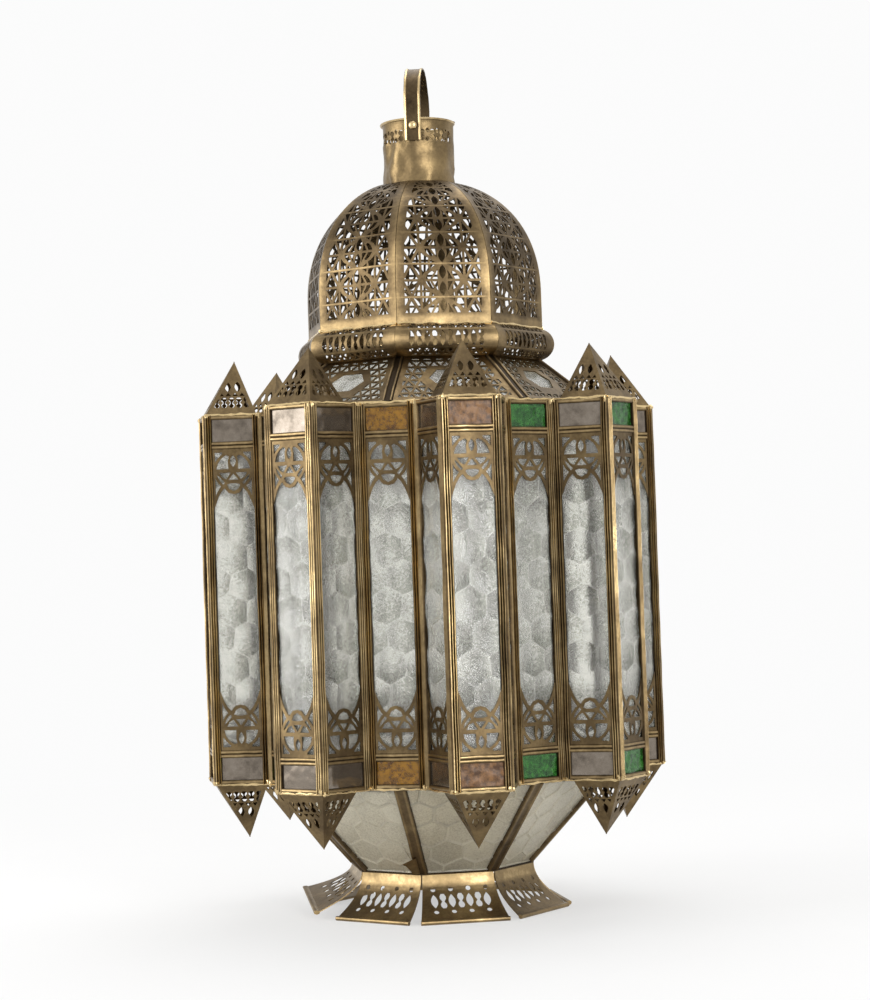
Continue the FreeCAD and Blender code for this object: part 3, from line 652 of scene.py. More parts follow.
def glass(name, colour, dark, roughness, transmission, grain_scale, grain_strength):
    """Pressed glass: cells of differing tone with painted shade, painted highlights on the ridges, fine
    grain, slight stains.
    """
    grain_share = 2.6
    grain_offset = -1.66
    stain_share = 0.5
    ridge_highlight_power = 6.0
    material, shading, shader = new_material(name)
    grain = shading.noise(grain_scale, 3.0, 0.7)
    stains = shading.noise(70.0, 4.0, 0.6)
    level = shading.combine("MULTIPLY_ADD", grain, grain_share, grain_offset)
    level = shading.combine("ADD", level, shading.attribute("tone"))
    level = shading.combine("ADD", level, shading.combine("MULTIPLY", stains, stain_share))
    # Painted highlight along the cells' ridges, where the wear value is one
    painted_ridge_highlight = shading.combine("POWER", shading.attribute("wear_and_painted_highlight"), ridge_highlight_power)
    level = shading.combine("ADD", level, painted_ridge_highlight)
    shading.links.new(shading.ramp(level, [(0.0, dark), (0.65, colour)]), shader.inputs["Base Color"])
    shader.inputs["Roughness"].default_value = roughness
    shader.inputs["IOR"].default_value = 1.46
    shader.inputs["Transmission Weight"].default_value = transmission
    shading.links.new(shading.bump(grain, grain_strength, 0.0005), shader.inputs["Normal"])
    return material


def mirror(name):
    """Old smoked mirror glass."""
    material, shading, shader = new_material(name)
    spots = shading.noise(90.0, 6.0, 0.7)
    ripple = shading.noise(45.0, 1.0)
    tint = shading.ramp(spots, [
        (0.25, (0.07, 0.056, 0.043)),
        (0.5, (0.20, 0.168, 0.135)),
        (0.75, (0.28, 0.242, 0.203)),
    ])
    shading.links.new(tint, shader.inputs["Base Color"])
    shading.links.new(shading.ramp(spots, [(0.2, 0.3), (0.6, 0.09)]), shader.inputs["Roughness"])
    shader.inputs["Metallic"].default_value = 0.85
    shading.links.new(shading.bump(ripple, 0.15, 0.001), shader.inputs["Normal"])
    return material


BRASS = brass("aged_brass")
DARK_BRASS = brass("tarnished_brass", 0.25)

# Colour, colour in the dark grain, roughness, transmission, scale and strength of the grain
GLASSES = {
    "clear": glass("hammered_glass", (0.995, 0.993, 0.95), (0.50, 0.51, 0.45), 0.16, 0.88, 520.0, 0.4),
    "embossed": glass("embossed_glass", (0.93, 0.87, 0.71), (0.62, 0.56, 0.43), 0.3, 0.72, 700.0, 0.4),
    "amber": glass("amber_glass", (0.52, 0.26, 0.020), (0.19, 0.080, 0.007), 0.18, 0.55, 230.0, 0.9),
    "green": glass("green_glass", (0.070, 0.310, 0.055), (0.007, 0.065, 0.012), 0.14, 0.5, 230.0, 0.9),
    "rose": glass("rose_glass", (0.29, 0.140, 0.047), (0.085, 0.039, 0.015), 0.36, 0.12, 210.0, 0.9),
    "mirror": mirror("smoked_mirror"),
}


# Body panels

class Panel:
    """One framed panel of the plan, seen from outside: across to the right, out towards the viewer."""

    def __init__(self, start, end, azimuth, mitres, insets=(0.0, 0.0), end_gap=0.0):
        ends = turned([(*start, 0.0), (*end, 0.0)], azimuth)
        run = ends[1] - ends[0]
        length = np.linalg.norm(run)
        self.corner = ends[0]
        self.along = run / length
        self.out = np.array([self.along[1], -self.along[0], 0.0])
        self.left = insets[0]
        self.right = length - insets[1]
        self.backs = (insets[0], self.right)
        if mitres:
            self.backs = (FRAME_DEPTH * math.tan(mitres[0]), length - FRAME_DEPTH * math.tan(mitres[1]))
        self.bottom = BODY_BOTTOM + end_gap
        self.top = BODY_TOP - end_gap
        self.light = (self.left + STILE_WIDTH, self.right - STILE_WIDTH)
        steps = [END_RAIL_HEIGHT, SMALL_PANE_HEIGHT, MIDDLE_RAIL_HEIGHT]
        self.rising = [self.bottom + sum(steps[:i]) for i in range(4)]
        self.falling = [self.top - sum(steps[:i]) for i in range(4)]

    def place(self, across, up, out):
        """Points at distances across, up and out of the panel."""
        across, up, out = np.broadcast_arrays(np.asarray(across, float), up, out)
        points = self.corner + across[..., None] * self.along + out[..., None] * self.out
        points[..., 2] = up
        return points


def bay_panel(index, *fit):
    """Panel between a turret and the next."""
    next_left = tuple(turned([(-BACK_HALF, -BACK_RADIUS, 0.0)], SECTOR)[0][:2])
    return Panel((BACK_HALF, -BACK_RADIUS), next_left, TURNS[index], *fit)


def plan_panels():
    """Every panel with its owner and its glass."""
    back_left = (-BACK_HALF, -BACK_RADIUS)
    front_left = (-HALF_PANEL, -FACE_RADIUS)
    front_right = (HALF_PANEL, -FACE_RADIUS)
    back_right = (BACK_HALF, -BACK_RADIUS)
    found = []
    for index in range(SIDES):
        turret = [
            (back_left, front_left, (INNER_MITRE, OUTER_MITRE), "mirror"),
            (front_left, front_right, (OUTER_MITRE, OUTER_MITRE), TURRET_FRONT_PANES[index]),
            (front_right, back_right, (OUTER_MITRE, INNER_MITRE), "mirror"),
        ]
        for start, end, mitres, colour in turret:
            found.append(("turret_%d" % (index + 1), Panel(start, end, TURNS[index], mitres), colour))
        colour = BAY_PANES[index % 2]
        if index + 1 == DOOR_BAY:
            door = bay_panel(index, None, (DOOR_HINGE_GAP, DOOR_FREE_GAP), DOOR_END_GAP)
            found.append(("door", door, colour))
        else:
            found.append(("bay", bay_panel(index, (INNER_MITRE, INNER_MITRE)), colour))
    return found


def rolled_section(start, end, back, count, profile, height, groove=0.0):
    """Section of sheet rolled into reeds or beads: its points' distances across and out, and their wear."""
    pitch = (end - start) / count
    across = [start]
    out = [0.0]
    wear_and_painted_highlight = [FRAME_EDGE_WEAR]
    for index in range(count):
        for share, rise, rub in profile:
            across.append(start + pitch * (index + share))
            out.append((height + groove) * rise - groove)
            wear_and_painted_highlight.append(rub)
    across += [end, back]
    out += [-FRAME_DEPTH] * 2
    wear_and_painted_highlight += [FRAME_EDGE_WEAR] * 2
    return np.array(across), np.array(out), np.array(wear_and_painted_highlight)


def add_stile(mesh, panel, edge, inner, back):
    """Channel of rolled reeds along one side of a panel, a little wavy."""
    across, out, wear_and_painted_highlight = rolled_section(edge, inner, back, REED_COUNT, REED_PROFILE, REED_HEIGHT, REED_GROOVE)
    levels = np.linspace(panel.bottom, panel.top, STILE_STEPS)
    rub = DICE.uniform(*STILE_RUB) + np.array([wobble(0.12) for _ in levels])
    rings = []
    for level in levels:
        sway = wobble(0.22)
        swell = 1 + wobble(0.15)
        rings.append(panel.place(across + sway * (out > 0), level, np.where(out > 0, out * swell, out)))
    mesh.loft(rings, rub[:, None] * wear_and_painted_highlight)


def add_rail(mesh, panel, low, high, beads):
    """Rail across a panel, rolled into one or more beads."""
    up, out, wear_and_painted_highlight = rolled_section(low, high, low, beads, RAIL_PROFILE, RAIL_BEAD_HEIGHT)
    rings = []
    for across in np.linspace(panel.light[0] - RAIL_TUCK, panel.light[1] + RAIL_TUCK, RAIL_STEPS):
        rings.append(panel.place(across, up + wobble(0.2) * (out > 0), out))
    mesh.loft(rings, wear_and_painted_highlight)


def add_blob(mesh, centre, size):
    """Small lump of solder."""
    rows = []
    for latitude in np.linspace(-1.35, 1.35, 5):
        row = []
        for turn in round_turns(7):
            jog = 1 + wobble(0.25)
            ring = math.cos(latitude)
            spot = (ring * math.cos(turn), ring * math.sin(turn), math.sin(latitude))
            row.append(np.asarray(centre) + jog * np.array(size) * spot)
        rows.append(row)
    mesh.loft(rows, BLOB_WEAR)


def add_frame(mesh, panel):
    """Stiles, rails and solder of one panel."""
    add_stile(mesh, panel, panel.left, panel.light[0], panel.backs[0])
    add_stile(mesh, panel, panel.right, panel.light[1], panel.backs[1])
    add_rail(mesh, panel, panel.rising[0], panel.rising[1], 1)
    add_rail(mesh, panel, panel.falling[1], panel.falling[0], 1)
    add_rail(mesh, panel, panel.rising[2], panel.rising[3], 2)
    add_rail(mesh, panel, panel.falling[3], panel.falling[2], 2)
    for level in (panel.bottom + 1.0, panel.top - 1.0):
        for edge in (panel.left + 1.5, panel.right - 1.5):
            spot = panel.place(edge, level + wobble(0.6), 0.5)
            add_blob(mesh, spot, (BLOB_WIDTH, BLOB_WIDTH, DICE.uniform(*BLOB_HEIGHTS)))


def half_plane(seed, other):
    """Large box on a seed's side of the line midway to another, anticlockwise."""
    gap = math.dist(seed, other)
    middle = ((seed[0] + other[0]) / 2, (seed[1] + other[1]) / 2)
    x, y = ((seed[i] - other[i]) / gap * HALF_PLANE_REACH for i in range(2))
    corners = ((1, 0), (-1, 0), (-1, 1), (1, 1))
    return [(middle[0] - a * y + b * x, middle[1] + a * x + b * y) for a, b in corners]


def add_cells(mesh, outline, place, spacing, jitter, depth, thickness, stretch=0.87, embossed=False):
    """Pressed glass over a flat back.

    Its cells are shallow bowls that meet in crisp ridges or, when embossed, flat with raised lines between.
    """
    ring = np.array(outline)
    low, high = ring.min(axis=0), ring.max(axis=0)
    rise = spacing * stretch
    seeds = []
    for row in range(-1, int((high[1] - low[1]) / rise) + 3):
        for column in range(-1, int((high[0] - low[0]) / spacing) + 3):
            seeds.append((low[0] + (column + 0.5 * (row % 2)) * spacing + wobble(jitter),
                          low[1] + row * rise + wobble(jitter)))
    scale = depth / (spacing * BOWL_REACH) ** 2

    def height(points, seed, share):
        if embossed:
            return np.full(len(points), 0.0 if share == 1.0 else -depth)
        return np.minimum(((points - seed) ** 2).sum(axis=1) * scale - depth, 0.0)

    for seed in seeds:
        cell = list(outline)
        for other in seeds:
            if other is not seed and math.dist(seed, other) <= spacing * CELL_REACH:
                cell = clipped(cell, half_plane(seed, other))
        if len(cell) > 2 and area(cell) >= LEAST_CELL:
            slope = EMBOSSED_PAINTED_SHADE_SLOPE if embossed else DICE.uniform(*CELL_PAINTED_SHADE_SLOPES)
            add_cell(mesh, cell, outline, np.array(seed), height, place, thickness, slope)
    back = place(ring[:, 0], ring[:, 1], -thickness)
    mesh.add(back, [tuple(range(len(ring)))[::-1]], 0.0, 1.0)


def edge_points(first, second):
    """Points along an edge but for its last, the same for both cells that share it."""
    kept = tuple(first) <= tuple(second)
    start, end = (np.array(p) for p in ((first, second) if kept else (second, first)))
    steps = max(1, math.ceil(math.dist(start, end) / CELL_EDGE_STEP))
    points = [start + (end - start) * i / steps for i in range(steps + 1)]
    return points[:-1] if kept else points[:0:-1]


def add_cell(mesh, cell, outline, seed, height, place, thickness, slope):
    """One cell of pressed glass with painted shade across it, and the pane's side walls where it lies on the
    edge.
    """
    border = np.array([point for edge in edges(cell) for point in edge_points(*edge)])
    middle = border.mean(axis=0)
    size = len(border)
    painted_light_bearing = math.radians(DICE.uniform(*PAINTED_LIGHT_BEARINGS))
    offset = border - middle
    lean = offset @ (math.cos(painted_light_bearing), math.sin(painted_light_bearing)) / np.linalg.norm(offset, axis=1).max()
    level = DICE.uniform(*CELL_TONES)
    rings = []
    tones_and_painted_shade = []
    for share in CELL_RINGS:
        spots = middle + offset * share
        rings.append(place(spots[:, 0], spots[:, 1], height(spots, seed, share)))
        # Painted shade: each ring's tone is raised on the side the bearing points to and lowered on the other
        tones_and_painted_shade.append(level + slope * share * lean)
    centre = place(middle[:1], middle[1:], height(middle[None, :], seed, 0.0))
    faces = []
    for column in range(size):
        following = (column + 1) % size
        for first in (0, size):
            second = first + size
            faces.append((first + column, first + following, second + following, second + column))
        faces.append((2 * size + column, 2 * size + following, 3 * size))
    wear_and_painted_highlight = np.append(np.repeat(CELL_RING_PAINTED_HIGHLIGHT, size), 0.0)
    mesh.add(np.concatenate(rings + [centre]), faces, wear_and_painted_highlight, np.append(np.concatenate(tones_and_painted_shade), level))
    add_walls(mesh, border, outline, seed, height, place, thickness)


def add_walls(mesh, border, outline, seed, height, place, thickness):
    """Side walls of a pane along the stretch of its outline that a cell reaches."""
    for here, there in zip(border, np.roll(border, -1, axis=0)):
        for a, b in edges(outline):
            run = np.subtract(b, a) / math.dist(a, b)
            offsets = [abs(run[0] * (p[1] - a[1]) - run[1] * (p[0] - a[0])) for p in (here, there)]
            if max(offsets) < 1e-4:
                pair = np.array([here, there])
                front = place(pair[:, 0], pair[:, 1], height(pair, seed, 1.0))
                back = place(pair[:, 0], pair[:, 1], -thickness)
                mesh.add(np.concatenate([front, back]), [(0, 2, 3, 1)])


def add_long_pane(mesh, panel):
    """Tall hammered pane of a panel."""
    left, right = panel.light
    bottom, top = panel.rising[3], panel.falling[3]
    outline = [(left, bottom), (right, bottom), (right, top), (left, top)]

    def place(across, up, out):
        return panel.place(across, up, out - PANE_SETBACK)

    add_cells(mesh, outline, place, *LONG_CELLS, GLASS - 0.2, LONG_CELL_STRETCH)


def add_small_panes(mesh, panel, ripple):
    """Small pane above and below the long one, with a rippled face."""
    left, right = panel.light
    width = 23
    for bottom, top in ((panel.rising[1], panel.rising[2]), (panel.falling[2], panel.falling[1])):
        across = np.linspace(left, right, width)
        up = np.linspace(bottom, top, 13)
        shift = DICE.uniform(0, 500)
        rows = []
        for level in up:
            waves = [noise.noise((x * RIPPLE_SCALE + shift, level * RIPPLE_SCALE, shift)) for x in across]
            rows.append(panel.place(across, level, (np.array(waves) - 1) * ripple - PANE_SETBACK))
        first = len(mesh.points)
        mesh.loft(rows, 0.5, closed=False)
        start = len(mesh.points)
        corners = panel.place([left, right, right, left], [bottom, bottom, top, top], -PANE_SETBACK - GLASS)
        mesh.add(corners, [(3, 2, 1, 0)])
        face = np.arange(first, start).reshape(len(up), width).tolist()
        left_column = [row[0] for row in face]
        right_column = [row[-1] for row in face]
        sides = [
            [start, start + 1] + face[0][::-1],
            [start + 2, start + 3] + face[-1],
            [start + 3, start] + left_column,
            [start + 1, start + 2] + right_column[::-1],
        ]
        mesh.faces.extend(tuple(side) for side in sides)
        mesh.tones_and_painted_shade.extend([0.5] * len(side) for side in sides)


def spandrel_sheet(half):
    """Arch plate with a rosette in a circle, an eye at its crown and two scallops to the posts."""
    middle = (0.0, -17.3)
    outer = half - 0.5
    inner = half - 2.7
    post = half - 1.6
    scallop = [(half, -48.0), (half - 1.9, -42.8), (half - 3.9, -37.8), (half - 6.3, -33.7),
               (half - 8.2, -31.8), (7.2, -31.0), (6.3, -32.6), (4.2, -35.0), (0.0, -36.0)]
    outline = [(half, 0.0), (-half, 0.0)] + [(-x, y) for x, y in scallop] + scallop[-2::-1]
    holes = [
        lens(0.0, -9.6, 4.6, 9.4),
        triangle(0.0, -24.6, 7.8, 5.2),
        [(-5.4, -28.2), (-3.8, -31.6), (0.0, -33.6), (3.8, -31.6), (5.4, -28.2), (2.6, -27.4), (-2.6, -27.4)],
    ]
    post_foot = [(half - 5.0, -31.0), (half - 2.9, -34.4), (post, -37.2)]
    sides = [
        [(3.9, -15.9)] + arc(middle, inner, 6, 68) + [(3.3, -6.0), (4.2, -9.6)],
        [(post, -2.6), (8.6, -2.6)] + arc(middle, outer, 57, 33, 4) + [(post, -10.4)],
        [(2.2, -18.8), (5.8, -24.2), (9.2, -22.4), (11.2, -18.8)],
        [(7.0, -26.8), (8.6, -28.4)] + arc(middle, inner, -48, -12, 5) + [(10.4, -22.8)],
        [(post, -22.6)] + arc(middle, outer, -24, -50, 5) + post_foot,
    ]
    for ring in sides:
        holes += both_sides(ring)
    return pierced(outline, holes)


def add_spandrels(mesh, panel, sheet):
    """The upper arch plate, and the lower one upside down."""
    middle = sum(panel.light) / 2
    for base, way in ((panel.falling[3], 1), (panel.rising[3], -1)):

        def place(across, up, out):
            return panel.place(middle + way * across, base + way * up, out - PANE_SETBACK + SHEET)

        add_sheet(mesh, sheet, place, SHEET, SPANDREL_WEAR)


def add_door_knuckles(mesh):
    """The door's rolled hinge knuckles and leaves, read from the hinge pins' place."""
    axis = joint_spot("door")
    pins = node_levels("hinge_pins")
    posts = node_levels("hinge_knuckles")
    door = bay_panel(DOOR_BAY - 1, None)
    reach = float(np.dot(axis - door.corner, door.along))
    turns = round_turns(KNUCKLE_SIDES)
    x = axis[0] + np.outer((KNUCKLE_BORE, KNUCKLE_RADIUS), np.cos(turns))
    y = axis[1] + np.outer((KNUCKLE_BORE, KNUCKLE_RADIUS), np.sin(turns))
    for upper in (False, True):
        low = posts[(posts >= axis[2]) == upper].max() + KNUCKLE_GAP
        high = pins[(pins >= axis[2]) == upper].max()
        rings = []
        for side, level in ((0, low), (1, low), (1, high), (0, high), (0, low)):
            rings.append(np.stack([x[side], y[side], np.full(KNUCKLE_SIDES, level)], axis=1))
        mesh.loft(rings, HINGE_WEAR, caps=False)
        rows = []
        for across in (reach + LEAF_START, reach + LEAF_END):
            rows.append(door.place(across, [low, high, high, low],
                                   [LEAF_BACK, LEAF_BACK, LEAF_FRONT, LEAF_FRONT]))
        mesh.loft(rows, HINGE_WEAR)


def build_body():
    """Frames, panes and fretwork of every panel."""
    frames = {}
    small = {colour: Mesh() for colour in ("mirror", "amber", "green", "rose")}
    parts = {name: Mesh() for name in ("long", "fret", "door_long", "door_fret", "door_small")}
    sheet = spandrel_sheet(SPANDREL_HALF)
    door_sheet = spandrel_sheet(DOOR_SPANDREL_HALF)
    for owner, panel, colour in plan_panels():
        add_frame(frames.setdefault(owner, Mesh()), panel)
        ripple = MIRROR_RIPPLE if colour == "mirror" else PRESSED_RIPPLE
        if owner == "door":
            add_long_pane(parts["door_long"], panel)
            add_spandrels(parts["door_fret"], panel, door_sheet)
            add_small_panes(parts["door_small"], panel, ripple)
        else:
            add_long_pane(parts["long"], panel)
            add_spandrels(parts["fret"], panel, sheet)
            add_small_panes(small[colour], panel, ripple)
    for index in range(1, SIDES + 1):
        node = "turret_frame_%d" % index
        make_piece(frames["turret_%d" % index], "reeded_turret_%d" % index, BRASS, "lantern", [node])
    make_piece(frames["bay"], "reeded_bays", BRASS, "lantern", ["bay_frames"])
    add_door_knuckles(frames["door"])
    make_piece(frames["door"], "reeded_door", BRASS, "door", ["door_frame"])
    clear = GLASSES["clear"]
    make_piece(parts["long"], "hammered_panes", clear, "lantern", ["long_panes"], GLASS_CREASE)
    make_piece(parts["door_long"], "door_hammered_pane", clear, "door", ["door_glass"],
               GLASS_CREASE)
    make_piece(parts["fret"], "arch_tracery", DARK_BRASS, "lantern", ["spandrel_fretwork"])
    make_piece(parts["door_fret"], "door_tracery", DARK_BRASS, "door", ["door_fretwork"])
    make_piece(parts["door_small"], "door_amber_lights", GLASSES["amber"], "door",
               ["door_small_panes"])
    for colour, mesh in small.items():
        make_piece(mesh, colour + "_lights", GLASSES[colour], "lantern",
                   [colour + "_panes"])


# Dome and bead

def dome_line():
    """Line of a gore as distance along it, apothem and level."""
    bottom, top = GORE_LOW[2], GORE_HIGH[2]
    power = DOME_CURVE_POWER
    narrow = DOME_LANDING / DOME_APOTHEM
    reach = (1 - narrow ** power) ** (1 / power)
    last = math.atan2(reach ** (power / 2), narrow ** (power / 2))
    turns = np.linspace(0, last, 24)
    curve_rise = (DOME_RISE - DOME_WALL_HEIGHT) / reach
    curve = np.stack([DOME_APOTHEM * np.cos(turns) ** (2 / power),
                      bottom + DOME_WALL_HEIGHT + curve_rise * np.sin(turns) ** (2 / power)], axis=1)
    line = np.concatenate([[(DOME_APOTHEM, bottom)], curve, [(-GORE_HIGH[1], top)]])
    return run_lengths(line), line


def run_lengths(line):
    """Distance along a line to each of its points."""
    return np.concatenate([[0.0], np.cumsum(np.linalg.norm(np.diff(line, axis=0), axis=1))])


def bent_place(along, line):
    """Place function for a sheet bent up a line of apothem and level, flat across."""
    run = unit(np.gradient(line, axis=0))
    normal = np.stack([run[:, 1], -run[:, 0]], axis=1)

    def place(across, up, out):
        apothem = np.interp(up, along, line[:, 0]) + out * np.interp(up, along, normal[:, 0])
        level = np.interp(up, along, line[:, 1]) + out * np.interp(up, along, normal[:, 1])
        return np.stack([across, -apothem, level], axis=-1)

    return place


def gore_holes(length):
    """Rows of lens and arch holes up the middle, with a lattice of triangles on each side."""
    holes = []
    rows = int((length - GORE_FOOT_BORDER) / GORE_ROW_PITCH) + 1
    spine = GORE_SPINE - GORE_RIBBON / 2
    start = GORE_SPINE + GORE_RIBBON / 2
    end = start + GORE_SIDE_TRIANGLE
    heart = (start + end) / 2
    for row in range(rows):
        low = GORE_FOOT_BORDER + row * GORE_ROW_PITCH + GORE_RIBBON / 2
        high = low + GORE_ROW_PITCH - GORE_RIBBON
        holes.append(lens(0.0, (low + high) / 2, GORE_LENS_WIDTH, high - low))
        sides = [
            bowed([(4.0, low), (8.2, low), (5.4, low + 4.6), (3.4, high - 3.6)], (0, 0, 0.05, -0.06)),
            bowed([(9.8, low), (13.6, low), (8.2, low + 6.4), (6.6, low + 5.2)], (0, 0.1, 0, -0.05)),
            bowed([(spine, low + 2.4), (spine, high), (11.4, high), (10.6, low + 7.4)], (0, 0, 0, -0.1)),
            bowed([(9.6, high), (4.6, high), (9.0, low + 8.4)], (0, -0.1, 0)),
            [(start + 1.3, low), (end - 1.3, low), (heart, high - 1.7)],
            [(start, low + 2.4), (heart - 1.5, high), (start, high)],
            [(end, high), (heart + 1.5, high), (end, low + 2.4)],
        ]
        for ring in sides:
            if row % 2:
                ring = [(x, low + high - y) for x, y in ring]
            holes += both_sides(ring)
    return holes


def build_dome():
    """Eight pierced gores with plain borders, and solder along their feet."""
    along, line = dome_line()
    levels = np.linspace(0.0, along[-1], 30)
    half = np.interp(levels, along, line[:, 0]) * TAN_HALF - GORE_GAP
    field_levels = np.linspace(GORE_FOOT_BORDER, along[-2] - 3.0, 16)
    field_half = np.interp(field_levels, along, line[:, 0]) * TAN_HALF - GORE_BORDER
    keep = field_half > 1.0
    holes = kept_holes(gore_holes(along[-1]), strip_outline(field_half[keep], field_levels[keep]))
    sheet = pierced(strip_outline(half, levels), holes, cross_folds(half, levels))
    gore = Mesh()
    add_sheet(gore, sheet, bent_place(along, line))
    spots = np.array(gore.points)
    height = (spots[:, 2] - GORE_LOW[2]) / DOME_RISE
    border = np.abs(spots[:, 0]) > -spots[:, 1] * TAN_HALF - GORE_BORDER + 0.5
    plain = border | (spots[:, 2] < GORE_LOW[2] + GORE_FOOT_BORDER - 0.5)
    gore.wear_and_painted_highlight = (np.where(plain, BORDER_WEAR, LATTICE_WEAR) - DOME_TOP_LOSS * height).tolist()
    across = np.linspace(-half[0], half[0], 16)
    for index, angle in enumerate(TURNS):
        mesh = Mesh()
        mesh.turned_copies(gore, [angle])
        path = [(x, -DOME_APOTHEM - 0.2, GORE_LOW[2] + 0.6 + wobble(0.7)) for x in across]
        radii = np.array([DICE.uniform(*GORE_SOLDER_RADII) for _ in across])
        mesh.tube(turned(path, angle), radii, 7, GORE_SOLDER_WEAR)
        make_piece(mesh, "pierced_gore_%d" % (index + 1), BRASS, "lantern",
                   ["dome_gore_%d" % (index + 1)], SHEET_CREASE)


def build_bead():
    """Half-round pierced bead, one length to each side of the dome."""
    level = (BEAD_LOW[2] + BEAD_HIGH[2]) / 2
    end = math.pi / 2 + BEAD_LAP
    turns = np.linspace(-end, end, 25)
    line = np.stack([BEAD_APOTHEM + BEAD_RADIUS * np.cos(turns), level + BEAD_RADIUS * np.sin(turns)], axis=1)
    along = (turns + end) * BEAD_RADIUS
    half = line[:, 0] * TAN_HALF - BEAD_GAP
    middle = along[-1] / 2
    field_half = BEAD_APOTHEM * TAN_HALF - BEAD_END_BAND
    pitch = 2 * field_half / BEAD_SLOTS
    holes = []
    for index in range(BEAD_SLOTS):
        x = (index - (BEAD_SLOTS - 1) / 2) * pitch
        between = x + pitch / 2
        if index % 2:
            holes.append(hourglass(x, middle + 1.0, *BEAD_SLOT))
        else:
            holes.append(lens(x, middle + 1.0, *BEAD_LENS))
        holes.append(triangle(x, middle + 10.0, 5.2, 4.6))
        holes.append(triangle(between, middle + 14.8, 4.0, -3.4))
        holes.append(dot(x, middle - 9.4, BEAD_DOT_RADIUS))
        holes.append(triangle(between, middle - 14.6, 4.8, 3.6))
    edge = field_half + 2
    field = [(-edge, 0.5), (edge, 0.5), (edge, along[-1] - 0.5), (-edge, along[-1] - 0.5)]
    sheet = pierced(strip_outline(half, along), kept_holes(holes, field, 2.0), cross_folds(half, along))
    bead = Mesh()
    add_sheet(bead, sheet, bent_place(along, line))
    bead.wear_and_painted_highlight = [BORDER_WEAR if abs(p[0]) > field_half + 1 else BEAD_WEAR for p in bead.points]
    whole = Mesh()
    whole.turned_copies(bead, TURNS)
    make_piece(whole, "pierced_bead", BRASS, "lantern", ["ring_bead"], SHEET_CREASE)


# Roof and taper

def slope_place(bottom, top):
    """Place function on a flat slope between two points of apothem and level, and its length."""
    length = math.dist(bottom, top)
    return bent_place(np.array([0.0, length]), np.array([bottom, top], float)), length


def corner_place(bottom, top):
    """The same along a corner of the octagon."""
    return slope_place((bottom[0] * CORNER_FACTOR, bottom[1]), (top[0] * CORNER_FACTOR, top[1]))


def slope_outline(low, high, length):
    """Outline of one side of a slope, between its ribs."""
    half_low, half_high = (point[0] * TAN_HALF - RIB_WIDTH / 2 * CORNER_FACTOR for point in (low, high))
    return [(-half_low, 0.0), (half_low, 0.0), (half_high, length), (-half_high, length)]


def slope_panes(outline, place, *cells, embossed=False):
    """Pressed panes on all sides of a slope, each with cells of its own."""
    panes = Mesh()
    for angle in TURNS:
        pane = Mesh()
        add_cells(pane, outline, place, *cells, GLASS, embossed=embossed)
        panes.turned_copies(pane, [angle])
    return panes


def slope_ribs(bottom, top, width, sunk, rub):
    """Ribs along the corners of the octagon, with two rolled edges and the middle sunk between them."""
    place, length = corner_place(bottom, top)
    half = width / 2
    floor = RIB_PROUD - sunk
    groove = rub * (1 - sunk)
    section = [(1.0, -RIB_DEPTH, 0.1), (1.0, 0.0, 0.2), (0.85, RIB_PROUD, rub), (0.6, RIB_PROUD, rub),
               (0.4, floor, groove)]
    section = np.array([(-x, *rest) for x, *rest in section] + section[::-1])
    rib = Mesh()
    rings = []
    for up in np.linspace(0.0, length, 9):
        across = section[:, 0] * half + wobble(0.25)
        rings.append(turned(place(across, np.full(len(across), up), section[:, 1]), SECTOR / 2))
    rib.loft(rings, section[:, 2])
    ribs = Mesh()
    ribs.turned_copies(rib, TURNS)
    return ribs


def roof_holes(length, half_low, half_high):
    """Small triangles all over the roof plate, round a long six-sided window."""
    middle = length / 2
    window = [(-17.0, middle), (-9.0, middle - 11.0), (9.0, middle - 11.0), (17.0, middle),
              (9.0, middle + 11.0), (-9.0, middle + 11.0)]
    guard = np.array([(x * 1.2, middle + (y - middle) * 1.28) for x, y in window])
    holes = []
    side = ROOF_TRIANGLE
    rise = side * 0.87
    tip = rise - ROOF_STRIP
    base = ROOF_STRIP * 0.6
    width = side - 2 * ROOF_STRIP
    for row in range(-1, int(length / rise) + 2):
        for column in range(-9, 10):
            x = (column + 0.5 * (row % 2)) * side
            y = row * rise + ROOF_STRIP
            holes.append(triangle(x + side / 2, y + base, width, tip - base))
            holes.append(triangle(x + side, y + rise - base, width, base - tip))
    field = [(-half_low, 5.0), (half_low, 5.0), (half_high, length - 3.0), (-half_high, length - 3.0)]
    kept = []
    for ring in kept_holes(holes, field, 4.0):
        spots = np.array(ring + [tuple(np.mean(ring, axis=0))])
        if not inside(spots, guard).any():
            kept.append(ring)
    return kept + [window]


def build_roof():
    """Sloping roof: glass under pierced plates, between channel ribs. Gives back the apothem of its foot."""
    bay_radius = BACK_RADIUS * math.cos(HALF_SECTOR) + BACK_HALF * math.sin(HALF_SECTOR)
    low = ((bay_radius - SLOPE_SETBACK) / CORNER_FACTOR, ROOF_LOW[2])
    high = (BEAD_APOTHEM + SHEET, ROOF_HIGH[2])
    place, length = slope_place(low, high)
    outline = slope_outline(low, high, length)
    plate = Mesh()
    holes = roof_holes(length, outline[1][0] - 5, outline[2][0] - 4)
    add_sheet(plate, pierced(outline, holes), place, SHEET, ROOF_PLATE_WEAR)
    plates = Mesh()
    plates.turned_copies(plate, TURNS)

    def pane_place(across, up, out):
        return place(across, up, out - SHEET - 0.1)

    ribs = slope_ribs(low, high, RIB_WIDTH, 1.0, 0.7)
    panes = slope_panes(outline, pane_place, *ROOF_CELLS)
    make_piece(plates, "roof_tracery", DARK_BRASS, "lantern", ["roof_fretwork"])
    make_piece(panes, "roof_glass", GLASSES["clear"], "lantern", ["roof_panes"], GLASS_CREASE)
    make_piece(ribs, "roof_channels", DARK_BRASS, "lantern", ["roof_ribs"])
    return low[0]


